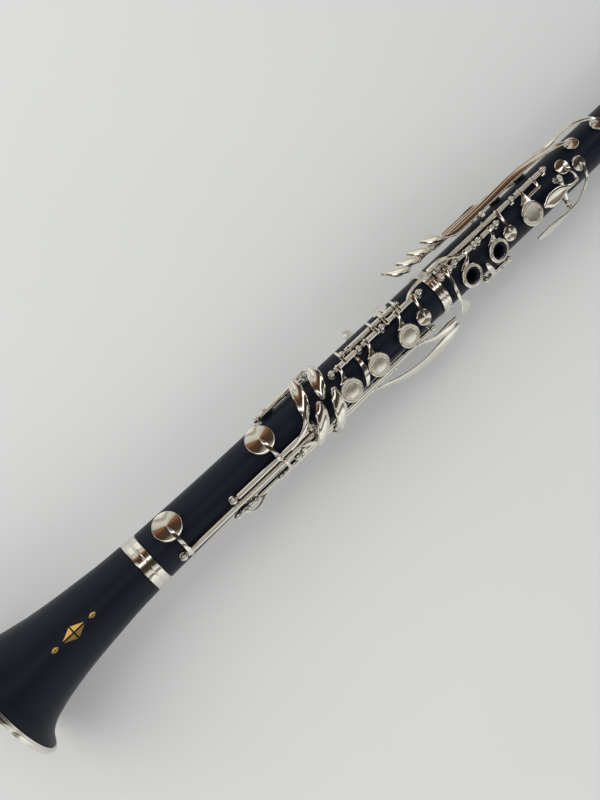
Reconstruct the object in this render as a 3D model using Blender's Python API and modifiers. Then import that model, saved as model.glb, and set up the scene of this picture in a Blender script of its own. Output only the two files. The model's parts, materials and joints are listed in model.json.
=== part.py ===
"""Soprano clarinet with Boehm keys, standing on its bell.

Metres, +Z along the bore from the bell to the mouthpiece. The front, where the
finger holes are, faces -Y, and the player's left hand side is +X. A place on the
instrument is given as an angle round the bore from the front (positive towards
+X), a reach (distance from the bore's axis) and a height above the bell's rim.
"""

import math

import bmesh
import bpy
from mathutils import Matrix, Vector

MM = 0.001  # the sizes below are in millimetres
GAP = 0.3  # clearance between neighbouring pieces

# Lengths along the bore
BELL_TOP = 107.0
BELL_RING_FOOT = 98.0
LOWER_FOOT = BELL_TOP + GAP
LOWER_TOP = 336.0
LOWER_RING_FOOT = 329.5
UPPER_FOOT = LOWER_TOP + GAP
UPPER_TOP = 529.0
BARREL_FOOT = UPPER_TOP + GAP
BARREL_TOP = 594.0
BARREL_RING = 5.5
MOUTHPIECE_FOOT = BARREL_TOP + GAP
MOUTHPIECE_TIP = 669.0

# Radii
RIM_REACH = 39.7
BORE = 7.4
TENON = 10.9
TENON_GROOVE = 9.6
SOCKET = 11.35
BELL_TENON = 12.2
BELL_TENON_GROOVE = 10.8
BELL_SOCKET = 12.7
TENON_LENGTH = 18.0
SOCKET_DEPTH = 20.0

# Keywork
ROD = 0.75
SLEEVE_BORE = 1.05
SLEEVE = 1.65
BALL = 2.1
ROD_REACH = 17.3
ARM_RIDE = 1.75  # an arm's middle above the axis of the sleeve it is soldered to
PAD_LIFT = 0.15  # a closed pad's clearance over its seat

# Hinge rods, as angle and reach
LOWER_STACK = (-51.0, 17.8)
LOWER_SLIVER = (-66.0, ROD_REACH)
LOW_E = (11.5, ROD_REACH)
LOW_F = (-3.5, ROD_REACH)
F_SHARP_PAD = (40.0, ROD_REACH)
F_SHARP_TOUCH = (70.0, ROD_REACH)
A_FLAT = (-100.0, ROD_REACH)
LEFT_E = (32.0, ROD_REACH)
LEFT_F = (53.0, ROD_REACH)
UPPER_STACK = (-46.0, ROD_REACH)
SIDE_LINE = (-61.0, ROD_REACH)
C_SHARP_TOUCH = (-44.0, ROD_REACH)
UPPER_SLIVER = (53.0, ROD_REACH)
THUMB_LINE = (140.0, ROD_REACH)

# Hinges that lie across the bore: angle faced, reach and height
CROSS_HINGE = (4.0, 16.6, 437.4)
REGISTER_HINGE = (196.0, 17.0, 436.0)
SIDE_HINGE = (-98.0, 19.0, 385.0)

# How far an open-standing key is held open, in degrees about its own rod
LOW_KEY_OPEN = 5.5
STACK_OPEN = 6.0
RING_OPEN = 5.0

# Outside of the two joints, as height and radius, foot first
LOWER_OUTSIDE = (
    (LOWER_FOOT + 0.6, 15.6),
    (135.0, 14.95),
    (157.0, 14.55),
    (185.0, 14.3),
    (210.0, 14.25),
    (275.0, 13.95),
    (LOWER_RING_FOOT - GAP, 13.7),
)
UPPER_OUTSIDE = ((UPPER_FOOT + 0.5, 13.95), (430.0, 13.9), (UPPER_TOP - 0.5, 13.7))

# Tone holes: angle, height, seat radius, seat reach, hole radius
LOWER_HOLES = {
    "third": (0.0, 251.8, 5.8, 15.9, 3.9),
    "second": (0.0, 274.0, 5.4, 15.9, 3.7),
    "first": (0.0, 299.2, 5.4, 15.8, 3.7),
    "vent": (-7.0, 313.5, 4.0, 15.3, 2.6),
    "low_e": (-56.0, 123.8, 7.0, 16.4, 5.6),
    "low_f": (-55.0, 193.0, 7.0, 15.9, 5.4),
    "f_sharp": (86.0, 163.0, 6.0, 15.8, 4.5),
    "a_flat": (-128.0, 208.0, 6.0, 15.4, 4.5),
    "b_natural": (-92.0, 298.6, 4.6, 14.9, 3.0),
}
UPPER_HOLES = {
    "third": (2.0, 354.7, 5.2, 16.2, 3.9),
    "second": (3.0, 378.4, 5.2, 16.2, 3.9),
    "first": (-8.0, 409.7, 5.0, 15.5, 3.2),
    "c_sharp": (-9.5, 391.0, 3.8, 14.9, 2.6),
    "a": (-38.0, 446.2, 3.9, 14.8, 2.6),
    "g_sharp": (-18.0, 456.6, 3.9, 14.8, 2.6),
    "e_flat": (88.0, 378.0, 4.2, 14.9, 2.8),
    "thumb": (180.0, 398.0, 5.2, 16.2, 3.8),
    "thumb_vent": (180.0, 415.5, 3.8, 14.9, 2.6),
    "side_1": (-118.0, 405.0, 3.9, 14.9, 2.6),
    "side_2": (-118.0, 428.0, 3.9, 14.9, 2.6),
    "side_3": (-56.0, 485.7, 3.9, 14.8, 2.6),
    "side_4": (-64.0, 463.4, 3.9, 14.8, 2.6),
}
REGISTER_HOLE = (170.0, 470.0)


# ---------------------------------------------------------------- places


def outward(angle):
    """Direction straight away from the bore at an angle round from the front."""
    turn = math.radians(angle)
    return Vector((math.sin(turn), -math.cos(turn), 0.0))


def around(angle):
    """Direction that goes round the bore towards larger angles."""
    turn = math.radians(angle)
    return Vector((math.cos(turn), math.sin(turn), 0.0))


def spot(angle, reach, height):
    """A place on the instrument, in metres."""
    place = outward(angle) * reach * MM
    place.z = height * MM
    return place


def upright(line, height=0.0):
    """Placement on a rod that runs along the bore."""
    return Matrix.Translation(spot(line[0], line[1], height))


def frame_matrix(place, right, up):
    """Placement whose own X and Z point along right and up."""
    back = up.cross(right)
    matrix = Matrix((right, back, up)).transposed().to_4x4()
    matrix.translation = place
    return matrix


def facing(angle, reach, height):
    """Placement whose own Z points away from the bore."""
    return frame_matrix(spot(angle, reach, height), Vector((0, 0, 1)), outward(angle))


def crossing(angle, reach, height, shift=0.0):
    """Placement whose own Z points round the bore, moved along it by shift."""
    place = spot(angle, reach, height) + around(angle) * shift * MM
    return frame_matrix(place, outward(angle), around(angle))


# ---------------------------------------------------------------- solids


def holder(name, mesh):
    """Scene object for a mesh, linked to the scene."""
    item = bpy.data.objects.new(name, mesh)
    bpy.context.scene.collection.objects.link(item)
    return item


def baked(item):
    """The object's mesh with its modifiers applied; the object goes."""
    graph = bpy.context.evaluated_depsgraph_get()
    mesh = bpy.data.meshes.new_from_object(item.evaluated_get(graph))
    bpy.data.objects.remove(item)
    return mesh


def cleaned(mesh):
    """Weld, drop needle faces and turn every face outwards."""
    form = bmesh.new()
    form.from_mesh(mesh)
    bmesh.ops.remove_doubles(form, verts=form.verts, dist=2e-6)
    bmesh.ops.dissolve_degenerate(form, edges=form.edges, dist=2e-6)
    bmesh.ops.recalc_face_normals(form, faces=form.faces)
    form.to_mesh(mesh)
    form.free()
    return mesh


def turned(outline, steps, placement=None):
    """Body turned from an outline of (radius, height), outer side downwards."""
    closed = outline[0][0] > 0
    points = [(radius * MM, 0.0, height * MM) for radius, height in outline]
    edges = [(i, i + 1) for i in range(len(points) - 1)]
    if closed:
        edges.append((len(points) - 1, 0))
    mesh = bpy.data.meshes.new("outline")
    mesh.from_pydata(points, edges, [])
    item = holder("turned", mesh)
    screw = item.modifiers.new("turn", "SCREW")
    screw.steps = steps
    screw.render_steps = steps
    screw.use_merge_vertices = True
    screw.merge_threshold = 1e-6
    screw.use_normal_calculate = True
    result = cleaned(baked(item))
    if placement is not None:
        result.transform(placement)
    return result


def bar(radius, low, high, steps=8, placement=None):
    """Plain round bar between two heights."""
    return turned([(0, high), (radius, high), (radius, low), (0, low)], steps, placement)


def collar(outer, inner, low, high, steps, placement=None):
    """Plain ring between two heights."""
    outline = [(outer, high), (outer, low), (inner, low), (inner, high)]
    return turned(outline, steps, placement)


def merged(meshes):
    """One mesh that holds several separate bodies."""
    form = bmesh.new()
    for mesh in meshes:
        form.from_mesh(mesh)
        bpy.data.meshes.remove(mesh)
    result = bpy.data.meshes.new("merged")
    form.to_mesh(result)
    form.free()
    return result


def combined(mesh, other, operation):
    """Boolean of two meshes."""
    base = holder("base", mesh)
    tool = holder("tool", other)
    step = base.modifiers.new("step", "BOOLEAN")
    step.operation = operation
    step.solver = "EXACT"
    step.object = tool
    result = baked(base)
    bpy.data.objects.remove(tool)
    return cleaned(result)


def fused(meshes):
    """One body from overlapping meshes."""
    result = meshes[0]
    for mesh in meshes[1:]:
        result = combined(result, mesh, "UNION")
    return result


def prism(outline, half_width, placement):
    """Flat outline of (y, z) points given thickness along X."""
    count = len(outline)
    points = []
    for side in (-half_width, half_width):
        points += [(side * MM, y * MM, z * MM) for y, z in outline]
    faces = [tuple(range(count)), tuple(range(2 * count - 1, count - 1, -1))]
    for i in range(count):
        j = (i + 1) % count
        faces.append((i, j, count + j, count + i))
    mesh = bpy.data.meshes.new("prism")
    mesh.from_pydata(points, [], faces)
    mesh.transform(placement)
    return cleaned(mesh)


# ---------------------------------------------------------------- keywork pieces


def curved_route(route, largest_turn=32.0):
    """Adds stations so that a route bends round the bore."""
    full = [route[0]]
    for start, end in zip(route, route[1:]):
        pieces = max(1, math.ceil(abs(end[0] - start[0]) / largest_turn))
        for i in range(1, pieces + 1):
            share = i / pieces
            full.append(tuple(a + (b - a) * share for a, b in zip(start, end)))
    return full


def arm(route, thick, upward=None):
    """Flat bar along stations of (angle, reach, height, width)."""
    stations = curved_route(route)
    places = [spot(*station[:3]) for station in stations]
    points = []
    for i, (place, station) in enumerate(zip(places, stations)):
        before = places[max(i - 1, 0)]
        after = places[min(i + 1, len(places) - 1)]
        along = (after - before).normalized()
        lift = outward(station[0]) if upward is None else upward
        side = along.cross(lift).normalized()
        top = side.cross(along).normalized()
        half = station[3] / 2
        rise = thick / 2
        edge = min(half, rise) * 0.6
        corners = [
            (half, 0),
            (half - edge, rise),
            (edge - half, rise),
            (-half, 0),
            (edge - half, -rise),
            (half - edge, -rise),
        ]
        for across, raised in corners:
            points.append(place + (side * across + top * raised) * MM)
    count = len(corners)
    faces = [tuple(range(count)), tuple(range(len(points) - 1, len(points) - 1 - count, -1))]
    for i in range(len(stations) - 1):
        start = i * count
        for j in range(count):
            k = (j + 1) % count
            faces.append((start + j, start + k, start + count + k, start + count + j))
    mesh = bpy.data.meshes.new("arm")
    mesh.from_pydata(points, [], faces)
    return cleaned(mesh)


def sleeve(line, low, high):
    """Hinge tube on a rod along the bore."""
    return collar(SLEEVE, SLEEVE_BORE, low, high, 8, upright(line))


def cross_sleeve(hinge, low, high):
    """Hinge tube on a rod across the bore, between two shifts."""
    return collar(SLEEVE, SLEEVE_BORE, low, high, 8, crossing(*hinge))


def body_reach(height):
    """Radius of the joints' outside at a height."""
    outline = LOWER_OUTSIDE if height < LOWER_TOP else UPPER_OUTSIDE
    for (below, low), (above, high) in zip(outline, outline[1:]):
        if height <= above:
            break
    share = (height - below) / (above - below)
    return low + (high - low) * share


def post(angle, ball_reach, height):
    """Ball-headed post that stands on the body."""
    foot_reach = body_reach(height) + GAP / 2
    ball = ball_reach - foot_reach
    outline = [(0, ball + BALL)]
    for step in range(1, 4):
        turn = math.radians(step * 40)
        outline.append((BALL * math.sin(turn), ball + BALL * math.cos(turn)))
    outline += [(1.1, 0.6), (2.0, 0.4), (2.0, 0), (0, 0)]
    return turned(outline, 6, facing(angle, foot_reach, height))


def rod_with_posts(line, heights):
    """Steel rod along the bore, held in a row of posts."""
    pieces = [bar(ROD, heights[0] - 1.2, heights[-1] + 1.2, 6, upright(line))]
    for height in heights:
        pieces.append(post(line[0], line[1], height))
    return fused(pieces)


def cross_post(hinge, shift):
    """Post under one end of a rod across the bore."""
    angle = hinge[0] + math.degrees(math.atan2(shift, hinge[1]))
    return post(angle, math.hypot(hinge[1], shift), hinge[2])


def cup(hole, radius, rise=2.2):
    """Pad cup, with its pad, closed over a hole: a shallow cone with a rim."""
    angle, height, _, seat, _ = hole
    low = PAD_LIFT
    outline = [(0, low + rise), (radius * 0.85, low + rise * 0.56), (radius, low + rise * 0.36)]
    outline += [(radius, low), (0, low)]
    return turned(outline, 14, facing(angle, seat, height))


def plate(hole, radius, rise=1.7):
    """Finger plate closed over a hole: raised rim round a shallow dish."""
    angle, height, _, seat, _ = hole
    low = PAD_LIFT
    outline = [(0, low + rise - 0.45), (radius - 1.5, low + rise - 0.4), (radius - 0.9, low + rise)]
    outline += [(radius, low + rise - 0.5), (radius, low), (0, low)]
    return turned(outline, 16, facing(angle, seat, height))


def finger_ring(hole, outer, inner):
    """Ring that surrounds a raised finger hole, flush with its top when down."""
    angle, height, _, seat, _ = hole
    outline = [(outer - 0.5, 0.1), (outer, -0.5), (outer, -1.3), (inner, -1.3), (inner, 0.1)]
    return turned(outline, 16, facing(angle, seat, height))


def cup_arm(line, hole, low, start_height, rise=2.2, width=2.0):
    """Arm from a sleeve to the middle of a cup, narrowing to a point."""
    angle, height, _, seat, _ = hole
    top = seat + PAD_LIFT + rise + low
    middle = line[0] + (angle - line[0]) * 0.45
    route = [(line[0], line[1] + ARM_RIDE, start_height, width)]
    route.append((middle, max(top, line[1] + 0.6) + 0.3, (start_height + height) / 2, width))
    route.append((line[0] + (angle - line[0]) * 0.8, top + 0.2, height, width * 1.2))
    route.append((angle, top - 0.1, height, 0.6))
    return arm(route, 1.1)


def opened(mesh, line, degrees):
    """Turns a key about its rod to where its spring holds it."""
    pivot = spot(line[0], line[1], 0)
    turn = Matrix.Rotation(math.radians(degrees), 4, "Z")
    mesh.transform(Matrix.Translation(pivot) @ turn @ Matrix.Translation(-pivot))
    return mesh


# ---------------------------------------------------------------- materials


def finish(name, colour, roughness, metallic):
    """Principled material."""
    material = bpy.data.materials.new(name)
    material.use_nodes = True
    shader = material.node_tree.nodes["Principled BSDF"]
    shader.inputs["Base Color"].default_value = (*colour, 1.0)
    shader.inputs["Roughness"].default_value = roughness
    shader.inputs["Metallic"].default_value = metallic
    return material


def finishes():
    """Every material of the instrument."""
    return {
        "black_plastic": finish("black_plastic", (0.012, 0.013, 0.018), 0.42, 0.0),
        "nickel": finish("nickel", (0.78, 0.76, 0.71), 0.14, 1.0),
        "steel": finish("steel", (0.62, 0.61, 0.58), 0.22, 1.0),
        "cork": finish("cork", (0.52, 0.33, 0.17), 0.85, 0.0),
        "ebonite": finish("ebonite", (0.01, 0.01, 0.011), 0.2, 0.0),
        "cane": finish("cane", (0.75, 0.6, 0.33), 0.6, 0.0),
    }


# ---------------------------------------------------------------- bodies


def bored(outline, holes, steps):
    """Turned joint with its raised seats and tone holes."""
    mesh = turned(outline, steps)
    seats = []
    drills = []
    for angle, height, seat_radius, reach, hole_radius in holes:
        start = reach - 5.0
        seats.append(bar(seat_radius, 0, 5.0, 10, facing(angle, start, height)))
        drills.append(bar(hole_radius, -8.0, 6.0, 7, facing(angle, start, height)))
    mesh = combined(mesh, merged(seats), "UNION")
    return combined(mesh, merged(drills), "DIFFERENCE")


def make_bell():
    """Flared bell, with a socket for the lower joint's tenon at its top."""
    outline = [(14.9, BELL_TOP), (14.9, BELL_RING_FOOT - GAP), (16.2, BELL_RING_FOOT - GAP)]
    outline += [(17.2, 81), (19.1, 62), (21.4, 44), (24.0, 29), (27.4, 17), (31.0, 8.8), (37.4, 3.9)]
    outline += [(37.4, GAP), (36.0, GAP), (30.0, 5), (23.0, 15), (16.5, 36), (12.5, 60), (10.4, 86)]
    outline += [(BELL_SOCKET, 87), (BELL_SOCKET, BELL_TOP)]
    return turned(outline, 30)


def make_bell_rim_ring():
    """Rounded metal ring round the bell's rim; the instrument stands on it."""
    outline = [(37.7, 3.6), (38.8, 3.4), (RIM_REACH, 2.1), (39.5, 0.7), (39.0, 0), (37.7, 0)]
    return turned(outline, 36)


def make_bell_socket_ring():
    """Metal band round the bell's socket, with a groove."""
    outline = [(15.2, BELL_TOP), (15.9, BELL_TOP), (16.1, BELL_TOP - 0.5), (16.1, 103.1), (15.8, 102.6)]
    outline += [(16.2, 102.1), (16.3, BELL_RING_FOOT + 0.5), (16.1, BELL_RING_FOOT), (15.2, BELL_RING_FOOT)]
    return turned(outline, 24)


def make_lower_joint():
    """Lower joint: tenon at its foot, socket at its top, nine tone holes."""
    outline = [(12.9, LOWER_TOP), (12.9, LOWER_RING_FOOT - GAP)]
    outline += [(radius, height) for height, radius in reversed(LOWER_OUTSIDE)]
    outline += [(15.3, LOWER_FOOT), (BELL_TENON, LOWER_FOOT), (BELL_TENON, 105), (BELL_TENON_GROOVE, 105)]
    outline += [(BELL_TENON_GROOVE, 92), (BELL_TENON, 92), (BELL_TENON, LOWER_FOOT - TENON_LENGTH)]
    outline += [(9.8, LOWER_FOOT - TENON_LENGTH), (7.7, 180), (BORE, LOWER_TOP - SOCKET_DEPTH)]
    outline += [(SOCKET, LOWER_TOP - SOCKET_DEPTH), (SOCKET, LOWER_TOP)]
    return bored(outline, LOWER_HOLES.values(), 24)


def make_middle_ring():
    """Metal band round the lower joint's socket, wider at its top."""
    top = LOWER_TOP
    outline = [(13.2, top), (15.3, top), (15.6, top - 0.4), (15.6, top - 1.8), (15.2, top - 2.2)]
    outline += [(15.5, top - 2.8), (15.4, top - 4.6), (15.0, LOWER_RING_FOOT), (13.2, LOWER_RING_FOOT)]
    return turned(outline, 24)


def make_upper_joint():
    """Upper joint: a tenon at each end and thirteen raised tone holes."""
    foot = UPPER_FOOT - TENON_LENGTH
    top = UPPER_TOP + TENON_LENGTH
    outline = [(TENON, top), (TENON, top - 3), (TENON_GROOVE, top - 3), (TENON_GROOVE, UPPER_TOP + 2.5)]
    outline += [(TENON, UPPER_TOP + 2.5), (TENON, UPPER_TOP), (13.4, UPPER_TOP)]
    outline += [(radius, height) for height, radius in reversed(UPPER_OUTSIDE)]
    outline += [(13.6, UPPER_FOOT), (TENON, UPPER_FOOT)]
    outline += [(TENON, UPPER_FOOT - 2.5), (TENON_GROOVE, UPPER_FOOT - 2.5), (TENON_GROOVE, foot + 3)]
    outline += [(TENON, foot + 3), (TENON, foot), (BORE, foot), (BORE, top)]
    mesh = bored(outline, UPPER_HOLES.values(), 24)
    angle, height = REGISTER_HOLE
    return combined(mesh, bar(2.9, 0, 12, 10, facing(angle, 4, height)), "DIFFERENCE")


def make_cork(inner, outer, low, high):
    """Cork wrap in a tenon's groove."""
    outline = [(outer - 0.3, high), (outer, high - 0.8), (outer, low + 0.8), (outer - 0.3, low), (inner, low)]
    outline.append((inner, high))
    return turned(outline, 16)


def make_barrel():
    """Barrel with a socket at each end."""
    foot = BARREL_FOOT
    top = BARREL_TOP
    step = BARREL_RING + GAP
    outline = [(13.1, top), (13.1, top - step), (15.0, top - step), (15.4, top - 20), (15.2, foot + 22)]
    outline += [(14.4, foot + step), (13.1, foot + step), (13.1, foot), (SOCKET, foot)]
    outline += [(SOCKET, foot + SOCKET_DEPTH), (BORE + 0.1, foot + SOCKET_DEPTH)]
    outline += [(BORE + 0.1, top - SOCKET_DEPTH), (SOCKET, top - SOCKET_DEPTH), (SOCKET, top)]
    return turned(outline, 26)


def make_barrel_ring(low, outer):
    """Metal band at one end of the barrel."""
    high = low + BARREL_RING
    outline = [(13.4, high), (outer - 0.3, high), (outer, high - 0.5), (outer, low + 0.5), (outer - 0.3, low)]
    outline.append((13.4, low))
    return turned(outline, 24)


def make_mouthpiece():
    """Mouthpiece: tenon, tapered body, slanted beak, flat table and window."""
    foot = MOUTHPIECE_FOOT
    tip = MOUTHPIECE_TIP
    outline = [(11.2, tip), (12.8, 628), (13.4, 606), (13.7, foot + 1), (13.4, foot), (TENON, foot)]
    outline += [(TENON, foot - 2.5), (TENON_GROOVE, foot - 2.5), (TENON_GROOVE, foot - 15)]
    outline += [(TENON, foot - 15), (TENON, foot - TENON_LENGTH), (7.4, foot - TENON_LENGTH), (6.9, 638)]
    outline += [(0.001, 639)]
    solid = [(0, tip)] + outline[:-3] + [(0, foot - TENON_LENGTH)]
    mesh = turned(solid, 24)
    beak = [(-30, 632), (-12.2, 632), (8.0, tip), (12.0, tip + 12), (-30, tip + 12)]
    table = [(9.5, 602), (9.5, tip + 5), (30, tip + 5), (30, 602)]
    mesh = combined(mesh, prism(beak, 20, Matrix()), "DIFFERENCE")
    mesh = combined(mesh, prism(table, 20, Matrix()), "DIFFERENCE")
    mesh = combined(mesh, bar(7.2, foot - 30, 640, 14), "DIFFERENCE")
    window = [(0, 632), (15, 632), (15, 663.5), (7.2, 663.5), (-1.0, 645)]
    return combined(mesh, prism(window, 5.4, Matrix()), "DIFFERENCE")


def make_reed():
    """Cane reed: flat on the table, round outside, thin at its tip."""
    sections = [(602.6, 3.3, 6.4), (632.0, 3.1, 6.4), (650.0, 1.7, 6.4), (668.4, 0.35, 6.3)]
    base = 9.5 + GAP
    points = []
    for height, thick, half in sections:
        for step in range(7):
            across = -half + step * half / 3
            swell = 0.45 + 0.55 * math.cos(across / half * math.pi / 2)
            points.append((across * MM, (base + thick * swell) * MM, height * MM))
        points.append((half * MM, base * MM, height * MM))
        points.append((-half * MM, base * MM, height * MM))
    count = 9
    faces = [tuple(range(count)), tuple(range(len(points) - 1, len(points) - 1 - count, -1))]
    for i in range(len(sections) - 1):
        for j in range(count):
            k = (j + 1) % count
            start = i * count
            faces.append((start + j, start + k, start + count + k, start + count + j))
    mesh = bpy.data.meshes.new("reed")
    mesh.from_pydata(points, [], faces)
    return cleaned(mesh)


LIGATURE_SCREWS = (611.5, 622.5)
LIGATURE_LUG = 16.4


def make_ligature():
    """Metal band that holds the reed, with two pairs of screw lugs."""
    pieces = [collar(14.6, 14.1, 606, 628, 26)]
    for height in LIGATURE_SCREWS:
        for side in (-2.6, 2.6):
            lug = [(14.3, height - 2.2), (18.4, height - 2.0), (18.4, height + 2.0), (14.3, height + 2.2)]
            pieces.append(prism(lug, 0.9, Matrix.Translation((side * MM, 0, 0))))
    mesh = fused(pieces)
    for height in LIGATURE_SCREWS:
        place = frame_matrix(Vector((0, LIGATURE_LUG * MM, height * MM)), Vector((0, 0, 1)), Vector((1, 0, 0)))
        mesh = combined(mesh, bar(1.2, -8, 8, 12, place), "DIFFERENCE")
    return mesh


def make_ligature_screw(height):
    """Thumb screw through one pair of lugs."""
    place = frame_matrix(Vector((0, LIGATURE_LUG * MM, height * MM)), Vector((0, 0, 1)), Vector((1, 0, 0)))
    outline = [(0, 11.5), (3.4, 11.5), (3.9, 11.0), (3.9, 8.2), (3.4, 7.7), (1.6, 7.3), (1.6, 3.9), (0.9, 3.8)]
    outline += [(0.9, -6.0), (0, -6.0)]
    return turned(outline, 8, place)


def make_thumb_rest():
    """Plate on the back of the lower joint with a hook for the right thumb."""
    base = arm([(180, 14.9, 268, 6), (180, 14.9, 272, 9), (180, 14.9, 290, 9), (180, 14.9, 293, 6)], 0.9)
    up = Vector((0, 0, 1))
    hook = arm([(180, 14.75, 287, 8.4), (180, 19, 286, 8.6), (180, 26, 284.5, 11), (180, 29.4, 281.5, 10)], 1.6, up)
    return fused([base, hook])


def make_register_tube():
    """Metal vent tube that passes through the upper joint's wall."""
    angle, height = REGISTER_HOLE
    outline = [(3.6, 15.2), (3.6, 14.3), (2.5, 14.1), (2.5, 5.6), (1.5, 5.6), (1.5, 15.2)]
    return turned(outline, 12, facing(angle, 0, height))


# ---------------------------------------------------------------- lower joint keys


def stack_key(hole, line, low, high, radius, height, extra):
    """Plate key of the stack beside the finger holes, held open by its spring."""
    pieces = [sleeve(line, low, high), plate(hole, radius)]
    top = hole[3] + PAD_LIFT + 1.1
    side = line[1] + ARM_RIDE
    route = [(line[0], side, height, 2.0), (line[0] * 0.6 + hole[0] * 0.4, side - 0.4, height, 2.0)]
    route.append((hole[0] - 21, top + 0.4, hole[1] + 0.5, 4.5))
    route.append((hole[0] - 16, top + 0.2, hole[1], 5.0))
    pieces.append(arm(route, 1.1))
    pieces += extra
    return fused(pieces)


def stack_foot(line, height):
    """Foot that reaches over the sliver key's sleeve beside the stack."""
    angle, reach = line
    route = [(angle + 5, reach + ARM_RIDE - 0.3, height, 1.8), (angle, reach + ARM_RIDE, height, 2.0)]
    route += [(angle - 8, reach + 2.7, height, 2.0), (angle - 21, reach + 2.8, height, 1.6)]
    return arm(route, 1.1)


def make_right_third_key():
    """Right third finger's plate."""
    line = LOWER_STACK
    foot = [stack_foot(line, 259.5)]
    key = stack_key(LOWER_HOLES["third"], line, 251.7, 268.3, 7.3, 253.8, foot)
    return opened(key, line, -STACK_OPEN)


def make_right_second_key():
    """Right second finger's plate."""
    line = LOWER_STACK
    foot = [stack_foot(line, 285.4)]
    key = stack_key(LOWER_HOLES["second"], line, 273.7, 287.3, 7.3, 276.4, foot)
    return opened(key, line, -STACK_OPEN)


def make_right_first_key():
    """Right first finger's plate, with the vent cup and the bridge lever."""
    line = LOWER_STACK
    vent = LOWER_HOLES["vent"]
    extra = [cup(vent, 4.9, 2.0), cup_arm(line, vent, 0.3, 315.8)]
    extra += [stack_foot(line, 293.8), stack_foot(line, 304.8)]
    ride = line[1] + ARM_RIDE
    bridge = [(-51, ride, 312, 2.0), (-58, ride + 0.3, 316, 2.0), (-63, 19.6, 322, 2.2), (-63, 18.8, 337, 3.0)]
    extra.append(arm(bridge, 1.1))
    key = stack_key(LOWER_HOLES["first"], line, 292.7, 318.3, 7.3, 301.4, extra)
    return opened(key, line, -STACK_OPEN)


def make_lower_sliver_key():
    """Thin key between the second and third plates: it opens a side hole."""
    line = LOWER_SLIVER
    hole = LOWER_HOLES["b_natural"]
    pieces = [sleeve(line, 264.7, 303.2), cup(hole, 5.2, 1.9)]
    touch = [(-66, 18.95, 267.0, 1.8), (-61.3, 18.4, 267.2, 1.8), (-57.5, 16.4, 267.2, 1.8)]
    touch += [(-54, 15.35, 267.2, 1.8), (-46, 15.35, 266.9, 1.8), (-36, 16.4, 266.6, 2.0)]
    touch += [(-15, 17.4, 265.8, 3.6), (5, 17.6, 263.8, 3.4), (20, 17.4, 261.4, 2.0)]
    pieces.append(arm(touch, 0.8))
    pieces.append(cup_arm(line, hole, 0.3, 298.6, 1.9))
    return fused(pieces)


def make_low_e_key():
    """Lowest key: a large cup far down, a long sleeve and its touch."""
    line = LOW_E
    hole = LOWER_HOLES["low_e"]
    ride = line[1] + ARM_RIDE
    pieces = [sleeve(line, 121.9, 218.5), cup(hole, 8.55, 2.5), cup_arm(line, hole, 0.3, 124.0, 2.5, 2.4)]
    stem = [(11.5, ride, 212.5, 2.6), (11.5, ride + 0.9, 217, 2.6), (10, 21.3, 221.5, 3), (6, 21.9, 226, 4)]
    pieces.append(arm(stem, 1.2))
    touch = [(-35, 22.3, 229.2, 3), (-27, 22.6, 228.4, 6.5), (-13, 22.6, 227.0, 10.5), (8, 22.3, 225.6, 10.5)]
    touch += [(24, 21.8, 224.2, 8), (32, 21.4, 223.2, 4)]
    pieces.append(arm(touch, 1.4))
    tab = [(11.5, ride, 208.5, 2.4), (17, 20.3, 208.5, 2.4), (24, 20.6, 208.5, 2.6)]
    pieces.append(arm(tab, 1.1))
    return opened(fused(pieces), line, LOW_KEY_OPEN)


def make_low_f_key():
    """Second lowest key, with a tab for the left hand's lever."""
    line = LOW_F
    hole = LOWER_HOLES["low_f"]
    ride = line[1] + ARM_RIDE
    pieces = [sleeve(line, 162.6, 216.5), cup(hole, 8.55, 2.5), cup_arm(line, hole, 0.3, 194.6, 2.5, 2.4)]
    tab = [(-12, ride + 0.3, 194.9, 2.0), (-3.5, ride + 0.4, 195.2, 2.2), (4, 20.6, 195.6, 2.2)]
    tab += [(20, 20.7, 196.2, 2.0), (38, 20.6, 196.8, 2.6)]
    pieces.append(arm(tab, 1.1))
    touch = [(-3.5, ride, 203, 2.2), (-6, ride + 0.3, 208, 2.4), (-15, 20.8, 214, 3), (-28, 22.2, 219.6, 6)]
    touch += [(-42, 23.0, 222.6, 9.5), (-58, 23.4, 225.6, 10.5), (-76, 23.6, 227.8, 9.5), (-90, 23.4, 229.4, 4)]
    pieces.append(arm(touch, 1.4))
    return opened(fused(pieces), line, LOW_KEY_OPEN)


def make_a_flat_key():
    """Right little finger's outer upper touch; its cup opens at the back."""
    line = A_FLAT
    hole = LOWER_HOLES["a_flat"]
    ride = line[1] + ARM_RIDE
    pieces = [sleeve(line, 203.7, 236.6), cup(hole, 6.6, 2.2), cup_arm(line, hole, 0.3, 208.0)]
    touch = [(-100, ride, 231, 2.6), (-94, 20.6, 236, 3), (-86, 22.9, 240.2, 3.4), (-78, 23.9, 241.8, 5)]
    touch += [(-68, 24.0, 241.0, 9), (-52, 23.6, 238.6, 9), (-37, 23.2, 235.4, 5), (-27, 22.9, 233.8, 2.6)]
    pieces.append(arm(touch, 1.4))
    return fused(pieces)


def make_f_sharp_touch():
    """Right little finger's inner upper touch, with a foot for the cup lever."""
    line = F_SHARP_TOUCH
    ride = line[1] + ARM_RIDE
    pieces = [sleeve(line, 173.4, 235.6)]
    touch = [(70, ride, 231.5, 2.6), (62, 20.8, 233.2, 2.8), (50, 21.9, 234.4, 3.2), (36, 22.2, 235.4, 5)]
    touch += [(24, 22.6, 236.4, 8.5), (6, 22.8, 238.2, 9.6), (-14, 22.8, 240.2, 9), (-26, 22.6, 241.9, 5.6)]
    touch.append((-33, 22.4, 243.0, 2.6))
    pieces.append(arm(touch, 1.4))
    foot = [(70, ride, 177, 2.2), (60, 20.6, 171, 2.2), (45, 21.2, 164.6, 2.2), (27, 20.5, 161.2, 2.4)]
    pieces.append(arm(foot, 1.1))
    return fused(pieces)


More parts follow.
